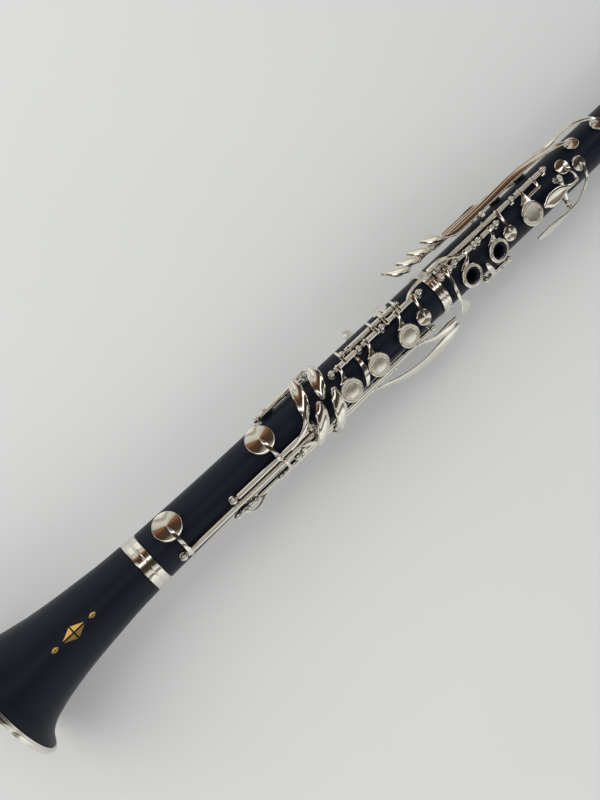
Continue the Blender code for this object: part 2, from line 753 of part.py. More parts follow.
def make_f_sharp_pad():
    """Short see-saw lever on the left: a tail under the foot, a cup beyond."""
    line = F_SHARP_PAD
    hole = LOWER_HOLES["f_sharp"]
    ride = line[1] + ARM_RIDE
    pieces = [sleeve(line, 159.2, 163.3), cup(hole, 6.6, 2.2)]
    lever = [(26, ride - 0.5, 161.2, 2.2), (40, ride, 161.2, 2.4), (52, 18.7, 161.6, 2.4)]
    lever += [(66, 19.6, 162.0, 2.2), (78, 18.9, 162.6, 2.6), (86, 18.1, 163.0, 0.6)]
    return fused(pieces + [arm(lever, 1.1)])


def make_left_e_lever():
    """Left little finger's lever for the lowest key."""
    line = LEFT_E
    ride = line[1] + ARM_RIDE
    pieces = [sleeve(line, 206.7, 313.3)]
    foot = [(32, ride, 209.4, 2.4), (27.3, 18.4, 209.2, 2.4), (24, 17.9, 209.0, 2.4), (20.5, 18.1, 208.6, 2.4)]
    pieces.append(arm(foot, 1.0))
    touch = [(32, ride, 302, 2.4), (37, 19.9, 307, 2.6), (43, 21.4, 313, 3.0), (46, 21.4, 320, 5)]
    touch += [(47, 20.8, 327, 5.5), (47, 20.2, 332, 3)]
    pieces.append(arm(touch, 1.2))
    return fused(pieces)


def make_left_f_lever():
    """Left little finger's lever for the second lowest key."""
    line = LEFT_F
    ride = line[1] + ARM_RIDE
    pieces = [sleeve(line, 192.7, 281.3)]
    foot = [(53, ride, 196.6, 2.4), (48.3, 18.4, 196.8, 2.4), (45, 17.8, 196.8, 2.4), (36, 17.7, 197.0, 2.4)]
    pieces.append(arm(foot, 1.0))
    touch = [(53, ride, 266, 2.4), (57, 20.6, 274, 2.8), (63, 23.6, 284, 3.6), (67, 26.0, 293, 7)]
    touch += [(69, 27.0, 304, 9), (69, 26.6, 318, 9), (66, 25.0, 330, 7), (63, 23.6, 336, 3)]
    pieces.append(arm(touch, 1.3))
    return fused(pieces)


# ---------------------------------------------------------------- upper joint keys


def ring_key(hole, line, low, high, height, extra):
    """Ring key of the upper stack, held open by its spring."""
    pieces = [sleeve(line, low, high), finger_ring(hole, 7.5, 5.6)]
    ride = line[1] + ARM_RIDE
    top = hole[3] - 0.55
    route = [(line[0], ride, height, 2.0), (line[0] * 0.62 + hole[0] * 0.38, ride - 0.6, height - 0.3, 2.0)]
    route += [(hole[0] - 27, top + 0.5, hole[1] + 0.6, 3.6), (hole[0] - 22.5, top, hole[1], 5.2)]
    pieces.append(arm(route, 1.0))
    return opened(fused(pieces + extra), line, -RING_OPEN)


def make_left_third_key():
    """Left third finger's ring, with the upper half of the bridge."""
    line = UPPER_STACK
    ride = line[1] + ARM_RIDE
    bridge = [(-46, ride, 356.5, 2.0), (-49, ride + 0.7, 353, 2.0), (-55, 21.3, 349, 2.2)]
    bridge += [(-62, 21.6, 344, 2.6), (-63, 21.5, 334, 3.0)]
    return ring_key(UPPER_HOLES["third"], line, 353.0, 364.9, 359.0, [arm(bridge, 1.1)])


def make_left_second_key():
    """Left second finger's ring."""
    return ring_key(UPPER_HOLES["second"], UPPER_STACK, 374.0, 384.3, 380.6, [])


def make_left_first_key():
    """Left first finger's teardrop plate, on two arms."""
    line = SIDE_LINE
    hole = UPPER_HOLES["first"]
    ride = line[1] + ARM_RIDE
    pieces = [sleeve(line, 409.1, 432.3), plate(hole, 7.75)]
    near = [(-61, ride, 412.4, 1.8), (-50, 18.6, 412.4, 1.8), (-40, 17.6, 411.4, 4.6), (-29, 16.9, 410.2, 7.6)]
    pieces.append(arm(near, 1.1))
    far = [(-61, ride, 424, 1.8), (-50, 18.6, 424, 1.8), (-38.5, 17.6, 423.4, 1.8)]
    pieces.append(arm(far, 1.1))
    side = [(-39, 17.6, 424.2, 1.8), (-39, 17.5, 418, 1.8), (-38, 17.3, 411, 1.8)]
    pieces.append(arm(side, 1.0))
    return opened(fused(pieces), line, -STACK_OPEN)


def make_c_sharp_pad():
    """Cup key on the side rod, with a tab over the touch's tail."""
    line = SIDE_LINE
    hole = UPPER_HOLES["c_sharp"]
    ride = line[1] + ARM_RIDE
    pieces = [sleeve(line, 343.7, 403.7), cup(hole, 4.9, 2.0), cup_arm(line, hole, 0.3, 392.2, 2.0)]
    tab = [(-61, ride, 345.2, 1.8), (-50.5, 19.2, 345.2, 1.8)]
    pieces.append(arm(tab, 0.9))
    return fused(pieces)


def make_c_sharp_touch():
    """Left little finger's touch on the upper joint, reaching over the front."""
    line = C_SHARP_TOUCH
    ride = line[1] + ARM_RIDE
    pieces = [sleeve(line, 340.7, 343.3)]
    lever = [(-49, ride - 0.2, 342.0, 2.0), (-44, ride, 342.0, 2.2), (-30, 19.0, 341.2, 2.0), (0, 18.9, 339.6, 2.2)]
    lever += [(20, 19.2, 339.6, 2.4), (30, 19.4, 340.4, 5), (42, 19.5, 341, 8.5), (50, 19.2, 341.2, 8.5)]
    pieces.append(arm(lever, 1.1))
    tail = [(-48, 18.8, 342.0, 1.6), (-50, 17.8, 343.0, 1.6), (-52.8, 17.4, 344.6, 1.6)]
    pieces.append(arm(tail, 0.8))
    return fused(pieces)


def make_a_key():
    """Oval touch high on the front, rocking over a cross rod to its cup."""
    hole = UPPER_HOLES["a"]
    pieces = [cross_sleeve(CROSS_HINGE, -6.6, 6.5), cup(hole, 4.8, 2.0)]
    touch = [(-3.5, 18.3, 418.6, 3), (-3.5, 18.7, 421.4, 7.5), (-3.5, 18.9, 427.4, 9.5), (-3, 18.8, 433, 8)]
    touch += [(-1, 18.6, 437.4, 4.6), (1.5, 18.6, 441, 2.4), (3, 18.4, 446, 2.2), (1, 18.2, 448.6, 2.2)]
    pieces.append(arm(touch, 1.4))
    reach = [(4.5, 18.0, 448.4, 2.2), (-10, 17.9, 448.6, 1.9), (-26, 17.7, 447.6, 2.2), (-38, 17.1, 446.2, 0.7)]
    pieces.append(arm(reach, 1.0))
    return fused(pieces)


def make_g_sharp_key():
    """Long side touch on the cross rod's end, reaching round to its cup."""
    hole = UPPER_HOLES["g_sharp"]
    pieces = [cross_sleeve(CROSS_HINGE, 11.5, 14.3), cup(hole, 4.8, 2.0)]
    touch = [(41, 21.4, 406, 3), (41, 21.8, 411, 6), (40.5, 22.2, 424, 6), (39.5, 22.9, 433, 2.4)]
    touch += [(39.5, 23.0, 437.4, 2), (38.5, 22.8, 442, 2.2), (30, 21.0, 449.6, 2.4), (12, 19.6, 454.6, 2.2)]
    touch += [(-6, 18.0, 456.4, 2.4), (-18, 17.1, 456.6, 0.7)]
    pieces.append(arm(touch, 1.1))
    return fused(pieces)


def make_upper_sliver_key():
    """Thin key between the rings; it opens a hole on the left side."""
    line = UPPER_SLIVER
    hole = UPPER_HOLES["e_flat"]
    ride = line[1] + ARM_RIDE
    pieces = [sleeve(line, 367.8, 382.2), cup(hole, 4.9, 2.0), cup_arm(line, hole, 0.3, 378.0, 2.0)]
    touch = [(53, ride, 370.6, 2.0), (46, 18.4, 370.2, 2.8), (30, 17.6, 368.8, 3.6), (14, 17.2, 367.2, 3.2)]
    touch.append((3, 16.8, 366.4, 2.0))
    pieces.append(arm(touch, 0.9))
    return fused(pieces)


def make_thumb_ring_key():
    """Ring round the thumb hole at the back, with a small cup above it."""
    line = THUMB_LINE
    ring_hole = UPPER_HOLES["thumb"]
    vent = UPPER_HOLES["thumb_vent"]
    ride = line[1] + ARM_RIDE
    pieces = [sleeve(line, 392.8, 418.2), finger_ring(ring_hole, 7.5, 5.6), cup(vent, 4.8, 2.0)]
    near = [(140, ride, 398, 2.0), (148, ride - 0.6, 398, 2.0), (153, 16.4, 398, 3.6), (157.5, 15.6, 398, 5)]
    pieces.append(arm(near, 1.0))
    pieces.append(cup_arm(line, vent, 0.3, 415.5, 2.0))
    return opened(fused(pieces), line, -RING_OPEN)


def make_register_key():
    """Left thumb's key: a touch by the thumb hole and a cup over the vent tube."""
    angle, height = REGISTER_HOLE
    pieces = [cross_sleeve(REGISTER_HINGE, -3.4, 3.4)]
    outline = [(0, 1.9), (2.2, 1.7), (4.4, 1.0), (4.4, 0.15), (0, 0.15)]
    pieces.append(turned(outline, 16, facing(angle, 15.2, height)))
    lever = [(208, 18.2, 406, 3), (208, 18.8, 409, 5.5), (208, 19.0, 415, 5.5), (206, 19.0, 421, 2.8)]
    lever += [(200, 18.7, 429, 2.6), (196, 18.75, 436, 2.8), (190, 18.4, 446, 2.4), (178, 17.9, 460, 2.4)]
    lever.append((170, 17.2, 470, 1.2))
    pieces.append(arm(lever, 1.2))
    return fused(pieces)


SIDE_PITCH = 3.1
SIDE_TOUCHES = (322.0, 331.0, 340.5, 352.0)


def side_shift(number):
    """Where side key 1 to 4 sits along its shared cross rod."""
    return (number - 2.5) * SIDE_PITCH


def side_angle(number, reach):
    """Angle of a side key's lever at a reach."""
    return SIDE_HINGE[0] + math.degrees(math.asin(side_shift(number) / reach))


def lobe_station(number, angle, width):
    """Place on a side key's lobe, which climbs outwards round the joint."""
    lean = -82 - angle
    return (angle, 24.0 + lean * 0.19, SIDE_TOUCHES[number - 1] + 6 - lean * 0.31, width)


def make_side_key(number, beyond):
    """Side key: a lobe for the right first finger, a long lever, a cup."""
    hole = UPPER_HOLES["side_%d" % number]
    shift = side_shift(number)
    line = side_angle(number, 21.0)
    ride = 21.05 / math.cos(math.radians(line - SIDE_HINGE[0]))
    pieces = [cross_sleeve(SIDE_HINGE, shift - 1.35, shift + 1.35), cup(hole, 4.8, 2.0)]
    foot = lobe_station(number, line, 2.0)
    lever = [foot, (line, foot[1] * 0.5 + ride * 0.5, foot[2] + 4, 2.0), (line, ride, foot[2] + 9, 2.0)]
    lever += [(line, ride, SIDE_HINGE[2] - 6, 2.0), (line, ride, SIDE_HINGE[2] + 4, 2.0)]
    pieces.append(arm(lever + beyond, 1.2))
    inner = max(line + 7, -93)
    lobe = [lobe_station(number, inner, 3), lobe_station(number, inner - 6, 7), lobe_station(number, -104, 8.2)]
    lobe += [lobe_station(number, -113, 7), lobe_station(number, -118, 3)]
    pieces.append(arm(lobe, 1.4))
    return fused(pieces)


def side_keys():
    """The four side keys, lowest touch first."""
    first = [(-112, 20.2, 396, 2.0), (-114, 18.4, 401, 2.2), (-118, 17.2, 405, 0.8)]
    second = [(side_angle(2, 21), 20.9, 416, 2.0), (-108, 19.4, 423, 2.2), (-118, 17.2, 428, 0.8)]
    third = [(side_angle(3, 21), 20.9, 442, 2.0), (-88, 21.0, 452, 2.4), (-84, 21.6, 460, 2.8)]
    third += [(-82, 21.6, 470, 2.8), (-75, 20.2, 479, 2.4), (-64, 18.0, 485, 2.2), (-56, 17.1, 485.7, 0.8)]
    fourth = [(side_angle(4, 21), 21.1, 434, 2.0), (-77, 20.4, 446, 2.2), (-70, 18.6, 457, 2.4)]
    fourth.append((-64, 17.1, 463.4, 0.8))
    routes = (first, second, third, fourth)
    return [make_side_key(i + 1, route) for i, route in enumerate(routes)]


# ---------------------------------------------------------------- rods


def make_low_rods():
    """Rods of the two lowest keys, their upper posts on one foot plate."""
    pieces = [rod_with_posts(LOW_E, (119.5, 221.4)), rod_with_posts(LOW_F, (159.6, 219.4))]
    pieces.append(arm([(-8, 15.15, 220.4, 4.4), (16, 15.15, 220.4, 4.4)], 0.7))
    return fused(pieces)


def make_side_rod():
    """Rod beside the upper stack and the short rod of the touch next to it."""
    pieces = [rod_with_posts(SIDE_LINE, (341.0, 406.4, 435.1))]
    pieces.append(rod_with_posts(C_SHARP_TOUCH, (338.4, 345.6)))
    pieces.append(arm([(-64, 14.5, 339.8, 3.6), (-52, 14.5, 339.2, 3.6), (-41, 14.5, 338.8, 3.6)], 0.6))
    return fused(pieces)


def make_cross_rod():
    """Rod across the front for the two throat keys."""
    pieces = [bar(ROD, -10.2, 15.0, 6, crossing(*CROSS_HINGE))]
    pieces.append(bar(1.1, 14.8, 15.5, 8, crossing(*CROSS_HINGE)))
    pieces.append(cross_post(CROSS_HINGE, -9.0))
    pieces.append(cross_post(CROSS_HINGE, 9.0))
    return fused(pieces)


def make_register_rod():
    """Rod across the back for the register key."""
    pieces = [bar(ROD, -7.0, 7.0, 6, crossing(*REGISTER_HINGE))]
    pieces.append(cross_post(REGISTER_HINGE, -5.8))
    pieces.append(cross_post(REGISTER_HINGE, 5.8))
    return fused(pieces)


def make_side_hinge_rod():
    """Rod across the right side that carries the four side keys."""
    pieces = [bar(ROD, -9.7, 9.7, 6, crossing(*SIDE_HINGE))]
    pieces.append(cross_post(SIDE_HINGE, -8.5))
    pieces.append(cross_post(SIDE_HINGE, 8.5))
    return fused(pieces)


# ---------------------------------------------------------------- assembly


def add(name, mesh, material, pivot=None):
    """Names a sub-part, gives it its material and sets its origin."""
    item = bpy.data.objects.new(name, mesh)
    bpy.data.collections["clarinet"].objects.link(item)
    mesh.name = name
    mesh.materials.clear()
    mesh.materials.append(material)
    if pivot is not None:
        mesh.transform(Matrix.Translation(-pivot))
        item.location = pivot
    mesh.shade_smooth()
    mesh.set_sharp_from_angle(angle=math.radians(32))
    return item


def add_bodies(look):
    """Joints, bell, barrel, rings and corks."""
    black = look["black_plastic"]
    nickel = look["nickel"]
    cork = look["cork"]
    add("bell", make_bell(), black)
    add("bell_rim_ring", make_bell_rim_ring(), nickel)
    add("bell_socket_ring", make_bell_socket_ring(), nickel)
    add("lower_joint", make_lower_joint(), black, spot(0, 0, BELL_TOP))
    add("lower_tenon_cork", make_cork(11.2, 12.35, 92.4, 104.6), cork)
    add("middle_ring", make_middle_ring(), nickel)
    add("upper_joint", make_upper_joint(), black, spot(0, 0, UPPER_FOOT))
    add("middle_tenon_cork", make_cork(9.8, 11.05, UPPER_FOOT - 14.7, UPPER_FOOT - 2.8), cork)
    add("top_tenon_cork", make_cork(9.8, 11.05, UPPER_TOP + 2.8, UPPER_TOP + 14.7), cork)
    add("barrel", make_barrel(), black, spot(0, 0, BARREL_FOOT))
    add("barrel_lower_ring", make_barrel_ring(BARREL_FOOT, 15.2), nickel)
    add("barrel_upper_ring", make_barrel_ring(BARREL_TOP - BARREL_RING, 15.9), nickel)
    add("thumb_rest", make_thumb_rest(), nickel)
    add("register_tube", make_register_tube(), nickel)


def add_mouthpiece(look):
    """Mouthpiece, reed and ligature."""
    nickel = look["nickel"]
    add("mouthpiece", make_mouthpiece(), look["ebonite"], spot(0, 0, MOUTHPIECE_FOOT))
    add("mouthpiece_cork", make_cork(9.8, 11.05, MOUTHPIECE_FOOT - 14.7, MOUTHPIECE_FOOT - 2.8), look["cork"])
    add("reed", make_reed(), look["cane"])
    add("ligature", make_ligature(), nickel)
    for name, height in zip(("lower", "upper"), LIGATURE_SCREWS):
        pivot = Vector((0, LIGATURE_LUG * MM, height * MM))
        add("ligature_screw_" + name, make_ligature_screw(height), nickel, pivot)


def add_rods(look):
    """Hinge rods, each with its posts."""
    steel = look["steel"]
    add("rod_lower_stack", rod_with_posts(LOWER_STACK, (249.0, 271.0, 290.0, 321.0)), steel)
    add("rod_lower_sliver", rod_with_posts(LOWER_SLIVER, (262.0, 305.9)), steel)
    add("rod_low_keys", make_low_rods(), steel)
    add("rod_f_sharp_pad", rod_with_posts(F_SHARP_PAD, (156.5, 166.0)), steel)
    add("rod_f_sharp_touch", rod_with_posts(F_SHARP_TOUCH, (170.8, 238.3)), steel)
    add("rod_a_flat", rod_with_posts(A_FLAT, (201.0, 239.3)), steel)
    add("rod_left_e", rod_with_posts(LEFT_E, (204.0, 316.0)), steel)
    add("rod_left_f", rod_with_posts(LEFT_F, (190.0, 284.0)), steel)
    add("rod_upper_stack", rod_with_posts(UPPER_STACK, (350.5, 367.6, 371.3, 387.0)), steel)
    add("rod_side_line", make_side_rod(), steel)
    add("rod_throat_keys", make_cross_rod(), steel)
    add("rod_upper_sliver", rod_with_posts(UPPER_SLIVER, (365.1, 384.9)), steel)
    add("rod_thumb_ring", rod_with_posts(THUMB_LINE, (390.1, 420.9)), steel)
    add("rod_register", make_register_rod(), steel)
    add("rod_side_keys", make_side_hinge_rod(), steel)


def add_keys(look):
    """Every key, with its origin on its rod."""
    nickel = look["nickel"]
    along = (
        ("key_right_third", make_right_third_key, LOWER_STACK, 252.0),
        ("key_right_second", make_right_second_key, LOWER_STACK, 274.0),
        ("key_right_first", make_right_first_key, LOWER_STACK, 299.0),
        ("key_lower_sliver", make_lower_sliver_key, LOWER_SLIVER, 265.0),
        ("key_low_e", make_low_e_key, LOW_E, 124.0),
        ("key_low_f", make_low_f_key, LOW_F, 194.0),
        ("key_a_flat", make_a_flat_key, A_FLAT, 210.0),
        ("key_f_sharp_touch", make_f_sharp_touch, F_SHARP_TOUCH, 165.0),
        ("key_f_sharp_pad", make_f_sharp_pad, F_SHARP_PAD, 161.0),
        ("lever_left_e", make_left_e_lever, LEFT_E, 209.0),
        ("lever_left_f", make_left_f_lever, LEFT_F, 196.0),
        ("key_left_third", make_left_third_key, UPPER_STACK, 356.0),
        ("key_left_second", make_left_second_key, UPPER_STACK, 380.0),
        ("key_left_first", make_left_first_key, SIDE_LINE, 412.0),
        ("key_c_sharp_pad", make_c_sharp_pad, SIDE_LINE, 345.0),
        ("key_c_sharp_touch", make_c_sharp_touch, C_SHARP_TOUCH, 343.0),
        ("key_upper_sliver", make_upper_sliver_key, UPPER_SLIVER, 370.0),
        ("key_thumb_ring", make_thumb_ring_key, THUMB_LINE, 398.0),
    )
    for name, make, line, height in along:
        add(name, make(), nickel, spot(line[0], line[1], height))
    add("key_a", make_a_key(), nickel, spot(*CROSS_HINGE))
    add("key_g_sharp", make_g_sharp_key(), nickel, spot(*CROSS_HINGE))
    add("key_register", make_register_key(), nickel, spot(*REGISTER_HINGE))
    for i, mesh in enumerate(side_keys()):
        add("key_side_%d" % (i + 1), mesh, nickel, spot(*SIDE_HINGE))


def main():
    """Builds the whole instrument."""
    for item in list(bpy.data.objects):
        bpy.data.objects.remove(item)
    group = bpy.data.collections.new("clarinet")
    bpy.context.scene.collection.children.link(group)
    look = finishes()
    add_bodies(look)
    add_mouthpiece(look)
    add_rods(look)
    add_keys(look)


main()
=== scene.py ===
import json
import math

import bmesh
import bpy
import numpy as np
from mathutils import Matrix, Vector


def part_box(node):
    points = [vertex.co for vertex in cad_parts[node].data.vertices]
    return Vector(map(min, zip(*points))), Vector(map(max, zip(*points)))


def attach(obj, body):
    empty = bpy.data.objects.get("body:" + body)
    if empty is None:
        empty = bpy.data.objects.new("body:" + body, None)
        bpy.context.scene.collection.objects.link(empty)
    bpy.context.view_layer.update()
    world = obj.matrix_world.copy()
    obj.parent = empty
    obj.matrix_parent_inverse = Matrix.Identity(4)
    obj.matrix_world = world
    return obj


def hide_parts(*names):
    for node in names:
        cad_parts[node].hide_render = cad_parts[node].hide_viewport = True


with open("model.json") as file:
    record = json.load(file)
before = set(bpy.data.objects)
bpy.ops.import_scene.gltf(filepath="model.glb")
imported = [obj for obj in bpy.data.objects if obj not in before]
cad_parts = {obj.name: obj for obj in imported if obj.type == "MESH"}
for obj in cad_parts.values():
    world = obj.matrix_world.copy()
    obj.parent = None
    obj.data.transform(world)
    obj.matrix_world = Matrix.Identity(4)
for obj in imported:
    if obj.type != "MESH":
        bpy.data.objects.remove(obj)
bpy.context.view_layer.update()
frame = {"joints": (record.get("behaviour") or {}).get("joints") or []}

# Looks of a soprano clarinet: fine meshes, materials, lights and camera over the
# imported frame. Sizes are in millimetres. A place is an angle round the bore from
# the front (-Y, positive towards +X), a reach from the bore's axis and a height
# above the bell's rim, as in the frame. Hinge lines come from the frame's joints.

MM = 0.001
UP = Vector((0, 0, 1))
SIDEWAYS = Vector((1, 0, 0))
BACK = Vector((0, 1, 0))

# Keywork, common sizes: radii of rods, sleeves, the balls of posts and springs
ROD = 0.75
SLEEVE_BORE = 1
SLEEVE = 1.65
SLEEVE_EDGE = 0.18
BALL = 2.1
SPRING = 0.26

# How far a spring starts under its rod, a pivot screw sits in its ball, an arm rides
# above its rod's middle, a pad lies above its seat, and a seat's face stands above
# the seat's own foot
SPRING_DROP = 2.35
SCREW_SINK = 0.25
ARM_RIDE = 1.75
PAD_LIFT = 0.15
SEAT_RISE = 5

# Radii of the rings round the raised holes
RING_OUTER = 7.5
RING_INNER = 5.6

# Height that parts the lower joint's holes and posts from the upper joint's
JOINT_SPLIT = 336

# How far a key's shapes are turned from closed to their place at rest, in degrees
LOW_KEY_OPEN = 5.5
STACK_OPEN = -6
RING_OPEN = -5

# Tone holes: angle, height, seat radius, seat reach, hole radius
HOLES = {
    "right_third": (0, 251.8, 5.8, 15.9, 3.9),
    "right_second": (0, 274, 5.4, 15.9, 3.7),
    "right_first": (0, 299.2, 5.4, 15.8, 3.7),
    "vent": (-7, 313.5, 4, 15.3, 2.6),
    "low_e": (-56, 123.8, 7, 16.4, 5.6),
    "low_f": (-55, 193, 7, 15.9, 5.4),
    "f_sharp": (86, 163, 6, 15.8, 4.5),
    "a_flat": (-128, 208, 6, 15.4, 4.5),
    "b_natural": (-92, 298.6, 4.6, 14.9, 3),
    "left_third": (2, 354.7, 5.2, 16.2, 3.9),
    "left_second": (3, 378.4, 5.2, 16.2, 3.9),
    "left_first": (-8, 409.7, 5, 15.5, 3.2),
    "c_sharp": (-9.5, 391, 3.8, 14.9, 2.6),
    "a": (-38, 446.2, 3.9, 14.8, 2.6),
    "g_sharp": (-18, 456.6, 3.9, 14.8, 2.6),
    "e_flat": (88, 378, 4.2, 14.9, 2.8),
    "thumb": (180, 398, 5.2, 16.2, 3.8),
    "thumb_vent": (180, 415.5, 3.8, 14.9, 2.6),
    "side_1": (-118, 405, 3.9, 14.9, 2.6),
    "side_2": (-118, 428, 3.9, 14.9, 2.6),
    "side_3": (-56, 485.7, 3.9, 14.8, 2.6),
    "side_4": (-64, 463.4, 3.9, 14.8, 2.6),
}
REGISTER_HOLE = (170, 470)

# Reed: its foot, where its scrape starts, its tip, the table it lies on, half its
# width, its thickness at the butt and at the tip
REED_FOOT = 602.6
SCRAPE_FOOT = 632
REED_TIP = 668.4
REED_TABLE = 9.8
REED_HALF = 6.4
REED_BUTT = 3.3
REED_EDGE = 0.35

# Camera: where it stands round the bore, which way it looks, its roll and its lens
CAMERA_ANGLE = -33.26
CAMERA_REACH = 524.77
CAMERA_HEIGHT = 117.23
LOOK_HEADING = math.radians(32.475)
LOOK_RISE = math.radians(12.017)
LOOK_ROLL = math.radians(46.81)
LENS = 41.43
SENSOR = 36

# Table top, in metres: how far behind the bore, how much it leans, its edges
TABLE_BEHIND = 0.0402
TABLE_LEAN = 0.034
TABLE_HALF = 1.6
TABLE_BELOW = 0.9
TABLE_ABOVE = 2.2

# What metal mirrors, from straight away from the window to straight at it
ROOM = (
    (0, (0.75, 0.75, 0.72)), (0.115, (1.1, 1.12, 1.08)),
    (0.13, (0.95, 0.96, 0.92)), (0.145, (0.42, 0.39, 0.33)),
    (0.17, (0.17, 0.14, 0.11)), (0.205, (0.3, 0.27, 0.22)),
    (0.235, (1.05, 1.05, 1)), (0.26, (0.72, 0.72, 0.69)),
    (0.32, (0.62, 0.61, 0.57)), (0.36, (0.08, 0.065, 0.05)),
    (0.52, (0.035, 0.028, 0.024)), (0.59, (0.14, 0.1, 0.075)),
    (0.625, (0.95, 0.93, 0.88)), (0.64, (2.2, 2.2, 2.1)),
    (0.672, (2.2, 2.2, 2.1)), (0.7, (0.42, 0.38, 0.32)),
    (0.75, (0.06, 0.042, 0.032)), (0.82, (0.08, 0.044, 0.028)),
    (0.852, (0.125, 0.06, 0.032)), (0.875, (0.31, 0.135, 0.052)),
    (0.893, (0.16, 0.105, 0.07)), (0.907, (0.55, 0.52, 0.44)),
    (0.955, (0.72, 0.7, 0.63)), (0.97, (0.3, 0.27, 0.22)),
    (0.982, (0.96, 0.98, 0.88)), (1, (0.96, 0.98, 0.88)),
)


# ---- places


def outward(angle):
    """Direction straight away from the bore at an angle round from the front."""
    turn = math.radians(angle)
    return Vector((math.sin(turn), -math.cos(turn), 0))


def around(angle):
    """Direction that goes round the bore towards larger angles."""
    turn = math.radians(angle)
    return Vector((math.cos(turn), math.sin(turn), 0))


def spot(angle, reach, height):
    """A place on the instrument, in metres."""
    place = outward(angle) * reach * MM
    place.z = height * MM
    return place


def placed(place, right, up):
    """Placement whose own X and Z point along right and up."""
    matrix = Matrix((right, up.cross(right), up)).transposed().to_4x4()
    matrix.translation = place
    return matrix


def upright(line, height=0):
    """Placement on a rod that runs along the bore."""
    return Matrix.Translation(spot(line[0], line[1], height))


def facing(angle, reach, height):
    """Placement whose own Z points away from the bore."""
    return placed(spot(angle, reach, height), UP, outward(angle))


def crossing(line):
    """Placement on a hinge across the bore, its own Z pointing round it."""
    return placed(spot(*line), outward(line[0]), around(line[0]))


def hinge_line(body):
    """Angle, reach and height of the joint that carries a body."""
    joint = next(j for j in frame["joints"] if j["child"] == body)
    x, y, z = (value / MM for value in joint["pos_m"])
    return math.degrees(math.atan2(x, -y)), math.hypot(x, y), z


def ends(node):
    """Lowest and highest point of a node."""
    low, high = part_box(node)
    return low.z / MM, high.z / MM


def above(base, *points):
    """Outline points whose heights count from a base."""
    return [(radius, base + height) for radius, height in points]


# ---- shapes
# A shape is a pair: an array of points in metres and a list of faces.


def moved(shape, placement):
    """The shape under a placement."""
    points, faces = shape
    matrix = np.array(placement)
    return points @ matrix[:3, :3].T + matrix[:3, 3], faces


def joined(shapes):
    """Several shapes as one."""
    points = []
    faces = []
    count = 0
    for some_points, some_faces in shapes:
        points.append(np.asarray(some_points, float))
        faces += [tuple(i + count for i in face) for face in some_faces]
        count += len(some_points)
    return np.vstack(points), faces


def lofted(points, count):
    """Skin over cross sections of count points each, with flat ends."""
    last = len(points) - 1
    faces = [tuple(range(count)), tuple(range(last, last - count, -1))]
    for start in range(0, len(points) - count, count):
        for j in range(count):
            k = (j + 1) % count
            faces.append((start + j, start + k, start + count + k, start + count + j))
    return np.array(points, float), faces


def eased(outline, radius, closed):
    """Outline with its corners rounded."""
    corners = [np.array(point, float) for point in outline]
    count = len(corners)
    result = []
    for i, corner in enumerate(corners):
        before = corners[i - 1] - corner
        after = corners[(i + 1) % count] - corner
        back = np.linalg.norm(before)
        ahead = np.linalg.norm(after)
        is_end = not closed and i in (0, count - 1)
        if is_end or np.dot(before, after) / (back * ahead) < -0.985:
            result.append(corner)
            continue
        trim = min(radius, min(back, ahead) * 0.45)
        start = corner + before / back * trim
        end = corner + after / ahead * trim
        for share in (0, 0.3, 0.7, 1):
            first = start + (corner - start) * share
            second = corner + (end - corner) * share
            result.append(first + (second - first) * share)
    return result


def lathe(outline, steps, placement=None, ease=0):
    """Body turned from an outline of (radius, height) in millimetres."""
    closed = outline[0][0] > 1e-6 or outline[-1][0] > 1e-6
    line = eased(outline, ease, closed) if ease else outline
    turns = np.arange(steps) * 2 * math.pi / steps
    points = []
    rings = []
    for radius, height in line:
        if radius < 1e-6:
            rings.append([len(points)] * steps)
            points.append((0, 0, height))
            continue
        rings.append(range(len(points), len(points) + steps))
        points += [(radius * math.cos(t), radius * math.sin(t), height) for t in turns]
    pairs = list(zip(rings, rings[1:]))
    if closed:
        pairs.append((rings[-1], rings[0]))
    faces = []
    for low, high in pairs:
        for i in range(steps):
            j = (i + 1) % steps
            face = tuple(dict.fromkeys((low[i], low[j], high[j], high[i])))
            if len(face) > 2:
                faces.append(face)
    shape = (np.array(points, float) * MM, faces)
    return shape if placement is None else moved(shape, placement)


def smooth(knots, lengths, counts):
    """Smooth curve through knots, in a stated number of steps for each span."""
    slopes = np.diff(knots, axis=0) / lengths[:, None]
    tangents = [slopes[0]]
    for i in range(1, len(knots) - 1):
        mixed = slopes[i - 1] * lengths[i] + slopes[i] * lengths[i - 1]
        tangents.append(mixed / (lengths[i - 1] + lengths[i]))
    tangents.append(slopes[-1])
    result = []
    for i, length in enumerate(lengths):
        for k in range(counts[i]):
            t = k / counts[i]
            start = (1 + 2 * t) * (1 - t) ** 2 * knots[i] + t * (1 - t) ** 2 * length * tangents[i]
            end = t * t * (3 - 2 * t) * knots[i + 1] + t * t * (t - 1) * length * tangents[i + 1]
            result.append(start + end)
    return result + [knots[-1]]


def curved(points, per):
    """Smooth outline through (radius, height) points."""
    knots = np.array(points, float)
    lengths = np.linalg.norm(np.diff(knots, axis=0), axis=1)
    return [tuple(point) for point in smooth(knots, lengths, [per] * len(lengths))]


def interpolated(route):
    """Smooth stations through a route of (angle, reach, height, width, lean)."""
    knots = np.array([(*station, 0)[:5] for station in route], float)
    steps = np.diff(knots, axis=0)
    swing = np.radians(steps[:, 0]) * (knots[1:, 1] + knots[:-1, 1]) / 2
    lengths = np.sqrt(swing**2 + steps[:, 1] ** 2 + steps[:, 2] ** 2)
    counts = [int(min(9, max(3, math.ceil(length / 0.9)))) for length in lengths]
    return smooth(knots, lengths, counts)


